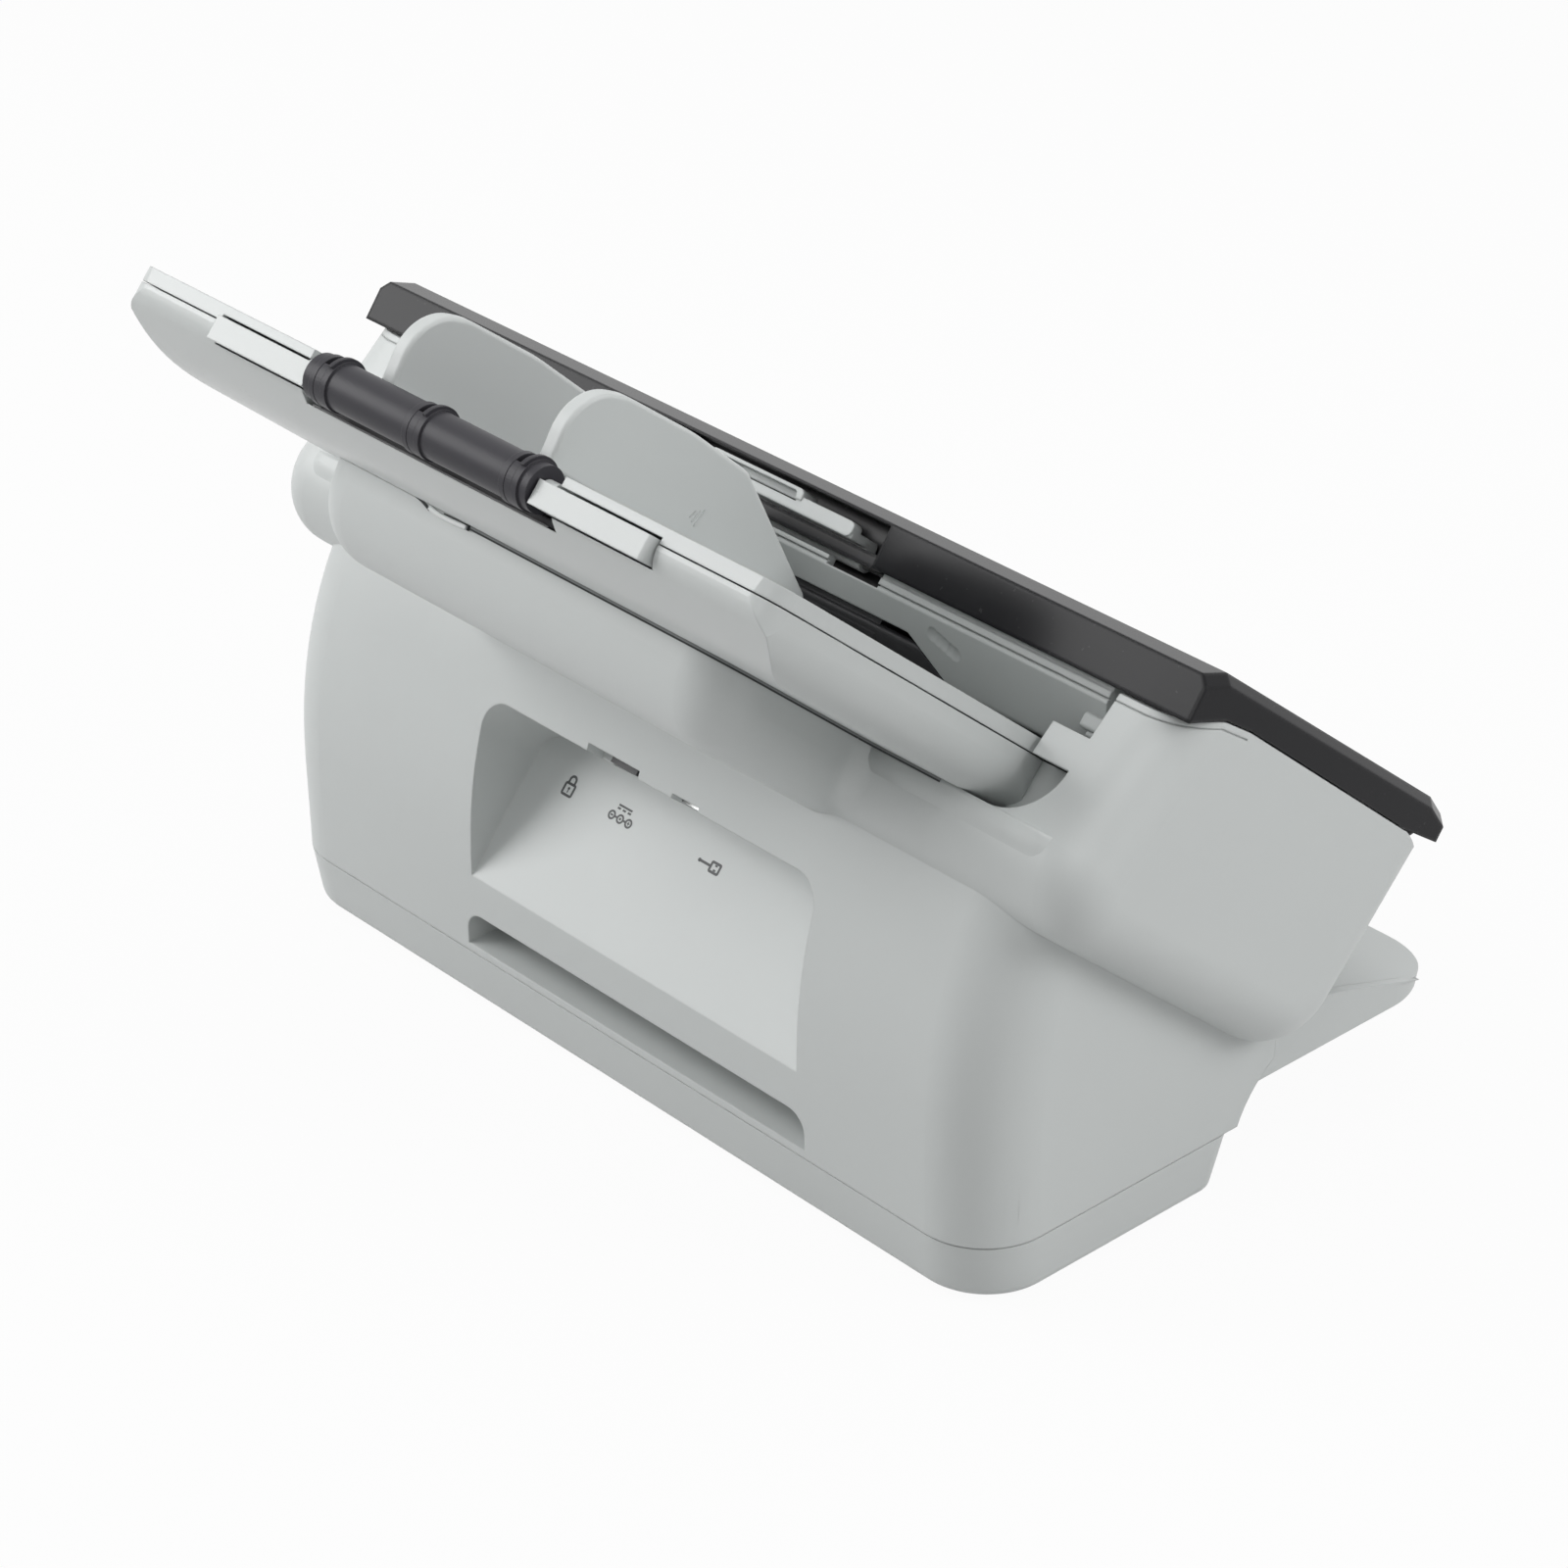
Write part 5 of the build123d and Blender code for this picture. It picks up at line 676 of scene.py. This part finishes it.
def makeFlipBed():
    bed, shadowStrip = bmesh.new(), bmesh.new()
    slab(bed, flipBed["across"], flipBed["wall"], flipBed["rise"])
    slab(shadowStrip, flipBed["across"], (flipBed["wall"][1], flipBed["edge"]), flipBed["shadowStrip"])
    pieceFrom(bed, "flipBed", "housing", darkPlastic)
    pieceFrom(shadowStrip, "flipShadowStrip", "housing", blackPlastic)


makeFlipBed()


# The small catch under the tray: a slanting notch drawn as a dark patch of painted shade, running out into a raised
# lip painted lighter as a highlight; points are (-x, n)
catch = {"face": 129.0, "lip": [(-32.4, 110.3), (-30.2, 109.85), (-27.6, 109.65), (-23.0, 109.75), (-17.8, 110.05)],
         "width": 1.2, "proud": 0.6, "line": [(-26.6, 110.55), (-17.2, 110.75), (-16.9, 109.6)], "lineWidth": 0.32,
         "lineProud": 0.7, "notchProud": 0.12,
         "notch": [(-39.0, 110.95), (-36.0, 110.45), (-32.2, 109.35), (-33.6, 110.6), (-35.2, 110.95)]}


def makeCatch():
    corner = onPath(0, catch["face"], 0)
    lip = Marks(corner, -acrossDir, outDir, catch["proud"])
    lip.line(catch["lip"], catch["width"])
    lip.done("catchLip", "housing", litLipPlastic)
    notch = Marks(corner, -acrossDir, outDir, catch["lineProud"])
    notch.line(catch["line"], catch["lineWidth"])
    notch.area(catch["notch"], catch["notchProud"])
    notch.done("catchNotchShade", "housing", gapShadowPaint)


makeCatch()


# The parting gap that runs under the tray, round the bulge, drawn as painted shade: a dark line with a grey band of
# shadow above it; points are (x, s)
parting = {"level": 109.95, "height": 0.45, "shadeHeight": 0.55, "width": 0.5,
           "straight": [(16.6, 129.0)], "corner": (-64.0, 115.0, 14.0, 8, 90, 90),
           "foot": [(-78.0, 74.6), (-79.5, 72.2), (-82.0, 71.55), (-104.0, 71.55)]}


def makeParting():
    path = parting["straight"] + circle(*parting["corner"]) + parting["foot"]
    gap = Marks(onPath(0, 0, parting["level"]), acrossDir, alongDir, parting["height"])
    gap.line(path, parting["width"])
    gap.done("trayParting", "housing", gapShadowPaint)
    shade = Marks(onPath(0, 0, parting["level"] + parting["height"]), acrossDir, alongDir, parting["shadeHeight"])
    shade.line(path, parting["width"])
    shade.done("trayPartingShade", "housing", gapShade)


makeParting()


# The wall deep in the pocket at the tray's end; points are (-x, n)
pocketWall = {"s": 57.6, "thick": 0.4, "outline": [(112.0, 112.3), (126.5, 113.0), (131.0, 115.8), (132.8, 120.0),
                                                   (133.0, 126.2), (112.0, 126.2)]}


def makePocketWall():
    wall = Marks(onPath(0, pocketWall["s"], 0), -acrossDir, outDir, pocketWall["thick"])
    wall.area(pocketWall["outline"])
    wall.done("pocketWall", "housing", bodyPlastic)


makePocketWall()


# Soft fairings that run the shelf under each end of the tray into the wall; rows are (n, s of the wall)
fairing = {"across": (79.0, 100.0, 120.0, 130.0, 136.2, 137.2, 138.2, 139.2, 140.2, 141.2, 142.4),
           "rows": ((103.6, 70.10), (104.4, 70.28), (105.2, 70.41), (106.0, 70.50), (106.8, 70.54), (107.6, 70.56),
                    (108.2, 70.55), (108.7, 70.52), (110.0, 70.40), (110.95, 70.26)),
           "front": 71.42, "rise": (103.8, 108.4), "fade": (136.2, 142.4), "sunk": 0.08, "sinking": 0.45,
           "depth": 0.9}


def softStep(value, start, end):
    share = min(1.0, max(0.0, (value - start) / (end - start)))
    return share * share * (3 - 2 * share)


def makeFairings():
    for name, side in (("rightFairing", 1), ("leftFairing", -1)):
        mesh = bmesh.new()
        columns = []
        for x in fairing["across"]:
            fade = 1 - softStep(x, *fairing["fade"])
            outline = []
            for n, wall in fairing["rows"]:
                base = wall - fairing["sunk"] - fairing["sinking"] * (1 - fade)
                outline.append((base + (fairing["front"] - base) * fade * softStep(n, *fairing["rise"]), n))
            outline += [(wall - fairing["depth"], n) for n, wall in reversed(fairing["rows"])]
            columns.append([mesh.verts.new(onPath(side * x, s, n)) for s, n in outline])
        joined(mesh, columns)
        piece = pieceFrom(mesh, name, "housing", bodyPlastic)
        for face in piece.data.polygons:
            face.use_smooth = len(face.vertices) == 4  # the end caps stay flat


makeFairings()


# A faint raised triangle of slanting strokes on each guide's outer face
guideMark = {"face": 32.0, "s": 112.5, "n": 138.6, "strokes": (2.0, 3.4, 4.8), "step": 1.35, "lean": 0.5, "line": 0.5,
             "proud": 0.16}


def makeGuideMarks():
    for name, body, side in (("rightGuideMark", "guide_right", 1), ("leftGuideMark", "guide_left", -1)):
        corner = onPath(side * guideMark["face"], guideMark["s"], guideMark["n"])
        mark = Marks(corner, alongDir * side, outDir, guideMark["proud"])
        for i, length in enumerate(guideMark["strokes"]):
            x = (i - 1) * guideMark["step"]
            mark.line([(x - guideMark["lean"], -length / 2), (x + guideMark["lean"], length / 2)], guideMark["line"])
        mark.done(name, body, bodyPlastic)


makeGuideMarks()


# Printed on the tray: sheet-width ticks and a small picture of how the sheets go in
trayMarks = {"level": 130.52, "line": 0.4, "ink": 0.02}
ticks = {"s": 106.0, "across": (52.5, 74.0, 91.0, 105.0), "length": 5.0, "foot": 2.4}
sheet = {"x": 62.0, "s": 146.0, "outline": [(-4.5, -6.0), (4.5, -6.0), (4.5, 6.0), (-2.0, 6.0), (-4.5, 3.5)],
         "text": (-1.0, 1.2, 3.4), "textHalf": 2.7, "arrow": [(-2.2, -7.6), (0, -10.6), (2.2, -7.6)]}


def makeTrayMarks():
    line, ink = trayMarks["line"], trayMarks["ink"]
    tick = Marks(onPath(0, ticks["s"], trayMarks["level"]), acrossDir, alongDir, ink)
    for x in ticks["across"]:
        for side in (-1, 1):
            tick.line([(side * x, 0), (side * x, ticks["length"])], line)
            tick.line([(side * x, 0), (side * (x - ticks["foot"]), 0)], line)
    tick.done("sheetTicks", "housing", darkInk)
    picture = Marks(onPath(sheet["x"], sheet["s"], trayMarks["level"]), acrossDir, alongDir, ink)
    picture.line(sheet["outline"], line, True)
    for y in sheet["text"]:
        picture.line([(-sheet["textHalf"], y), (sheet["textHalf"], y)], line)
    picture.area(sheet["arrow"])
    picture.done("sheetPicture", "housing", darkInk)


makeTrayMarks()


# The screen behind the display window: a page, an arrow, and two tiles with a dot and two bars each
display = {"x": 20.0, "width": 63.0, "height": 31.0, "corner": 1.0, "level": -1.41, "thick": 0.04, "glow": 0.75,
           "dusk": (0.012, 0.030, 0.055), "dawn": (0.030, 0.085, 0.140), "pale": (0.62, 0.72, 0.78),
           "tile": (0.10, 0.26, 0.36), "mask": (67.4, 35.4, 1.4), "maskThick": 0.03,
           "tiles": ((60.0, 3.4, 0.6, 0, 12.5), (24.0, 7.8, 1.2, 17.5, 3.2), (24.0, 7.8, 1.2, 17.5, -6.4),
                     (57.0, 1.6, 0.7, 0, -13.3)),
           "page": [(-23.0, -7.4), (-14.0, -7.4), (-14.0, 2.4), (-16.6, 5.0), (-23.0, 5.0)], "pageLine": 0.5,
           "text": (2.2, 0.0, -2.2, -4.4), "textFrom": -21.4, "textTo": -15.8, "textLean": 0.4, "textLine": 0.45,
           "shaft": [(-11.4, -1.0), (-6.0, -1.0)], "shaftLine": 1.2, "head": [(-6.2, -3.4), (-2.8, -1.0), (-6.2, 1.4)],
           "dots": ((9.6, 3.2, 1.7, 20), (9.6, -6.4, 1.7, 20), (24.0, 12.5, 0.7, 14), (26.4, 12.5, 0.7, 14),
                    (28.8, 12.5, 0.7, 14)),
           "bars": ((12.0, 0.9, 0.4, 19.5, 4.3), (8.0, 0.7, 0.3, 17.5, 1.9), (12.0, 0.9, 0.4, 19.5, -5.3),
                    (8.0, 0.7, 0.3, 17.5, -7.7), (20.0, 0.9, 0.4, -17.5, -13.3))}


# Lit faces that shade from dusk below to dawn above, faintly hazy
glow = {"rough": 0.35, "hazeSize": 2, "hazeRough": 0.1}


def glowFinish(name, slot, dusk, dawn, strength=display["glow"], spread=display["height"]):
    finish = Finish(name, slot)
    share = (finish.along(lidAlong, onLid(display["x"], -spread / 2, 0)) * (1 / spread)).clamped()
    tone = finish.blend(share, dusk, dawn)
    finish.feed({
        "Base Color": tone,
        "Emission Color": tone,
        "Emission Strength": strength,
        "Roughness": glow["rough"] + finish.noise(glow["hazeSize"]) * glow["hazeRough"],
    })
    return finish


screenGlow = glowFinish("screenGlow", "window", display["dusk"], display["dawn"])
screenPale = glowFinish("screenPale", "window", display["pale"], display["pale"])
screenTile = glowFinish("screenTile", "window", display["tile"], display["dawn"])


def onScreen(level, thick):
    return Marks(onLid(display["x"], 0, display["level"] + level), acrossDir, lidAlong, thick)


def makeDisplay():
    thick = display["thick"]
    mask = onScreen(-display["maskThick"], display["maskThick"])
    mask.area(roundedRectangle(*display["mask"]))
    mask.done("screenMask", "door", blackPlastic)

    face = onScreen(0, thick)
    face.area(roundedRectangle(display["width"], display["height"], display["corner"]))
    face.done("screenFace", "door", screenGlow)

    tiles = onScreen(thick, thick / 2)
    for tile in display["tiles"]:
        tiles.area(roundedRectangle(*tile))
    tiles.done("screenTiles", "door", screenTile)

    marks = onScreen(thick * 1.5, thick / 2)
    marks.line(display["page"], display["pageLine"], True)
    for y in display["text"]:
        marks.line([(display["textFrom"], y), (display["textTo"] - display["textLean"] * abs(y), y)],
                   display["textLine"])
    marks.line(display["shaft"], display["shaftLine"])
    marks.area(display["head"])
    for dot in display["dots"]:
        marks.area(circle(*dot))
    for bar in display["bars"]:
        marks.area(roundedRectangle(*bar))
    marks.done("screenMarks", "door", screenPale)


makeDisplay()


# The status light below the power key
statusLight = {"place": (-126.0, -11.0), "radius": 1.1, "steps": 24, "proud": 0.18,
               "dusk": (0.10, 0.55, 0.30), "dawn": (0.25, 0.85, 0.50), "glow": 0.9, "spread": 2.0}


def makeStatusLight():
    finish = glowFinish("statusGlow", "glass", statusLight["dusk"], statusLight["dawn"],
                        statusLight["glow"], statusLight["spread"])
    light = Marks(onLid(*statusLight["place"], 0), acrossDir, lidAlong, statusLight["proud"])
    light.area(circle(0, 0, statusLight["radius"], statusLight["steps"]))
    light.done("statusLight", "door", finish)


makeStatusLight()
print("marks, screen and trim made")


# Floor, world and lamps; a lamp has its place, the point it aims at, its size and its power
stage = {"floorHalf": 6.0, "floorLevel": -0.00152, "floorColour": (0.58, 0.58, 0.58), "floorGlow": 0.95, "world": 0.33,
         "lamps": [
             ("rearLamp", (0.95, 0.75, 0.80), (0.0, 0.0, 0.10), 0.8, 11.2),
             ("sideLamp", (-1.35, -0.75, 0.85), (0.0, 0.0, 0.12), 0.8, 11.0),
             ("topLamp", (0.1, -0.3, 1.9), (0.0, 0.0, 0.0), 1.2, 9.0),
             ("cornerLamp", (-0.80, 0.95, 1.50), (0.0, 0.0, 0.12), 0.9, 5.0),
         ]}


def makeFloor():
    mesh = bmesh.new()
    half, level = stage["floorHalf"], stage["floorLevel"]
    mesh.faces.new([mesh.verts.new((x, y, level)) for x, y in box(-half, -half, half, half)])
    floor = placed("floor", meshFrom(mesh, "floor"))
    finish = Finish("paleFloor", None)
    finish.feed({"Base Color": (*stage["floorColour"], 1), "Roughness": 0.9, "Specular IOR Level": 0.0})
    shaded = Wire(finish, finish.shader.outputs[0])
    upper = finish.mixed(finish.seen() * stage["floorGlow"], shaded, finish.node("ShaderNodeEmission"))
    under = finish.node("ShaderNodeNewGeometry", output="Backfacing")
    whole = finish.mixed(under, upper, finish.node("ShaderNodeBsdfTransparent"))  # open when seen from below
    finish.fill(finish.output, {"Surface": whole})
    floor.data.materials.append(finish.material)


def makeWorld():
    world = bpy.data.worlds.new("studio")
    world.use_nodes = True
    shading = Shading(world.node_tree)
    strength = stage["world"] + shading.seen() * (1 - stage["world"])
    shading.fill(world.node_tree.nodes["Background"], {"Color": (1, 1, 1, 1), "Strength": strength})
    bpy.context.scene.world = world


def makeLamps():
    for name, place, aim, size, power in stage["lamps"]:
        lamp = placed(name, bpy.data.lights.new(name, "AREA"))
        lamp.data.size = size
        lamp.data.energy = power
        aimed(lamp, place, Vector(aim) - Vector(place))


makeFloor()
makeWorld()
makeLamps()
print("stage lit")
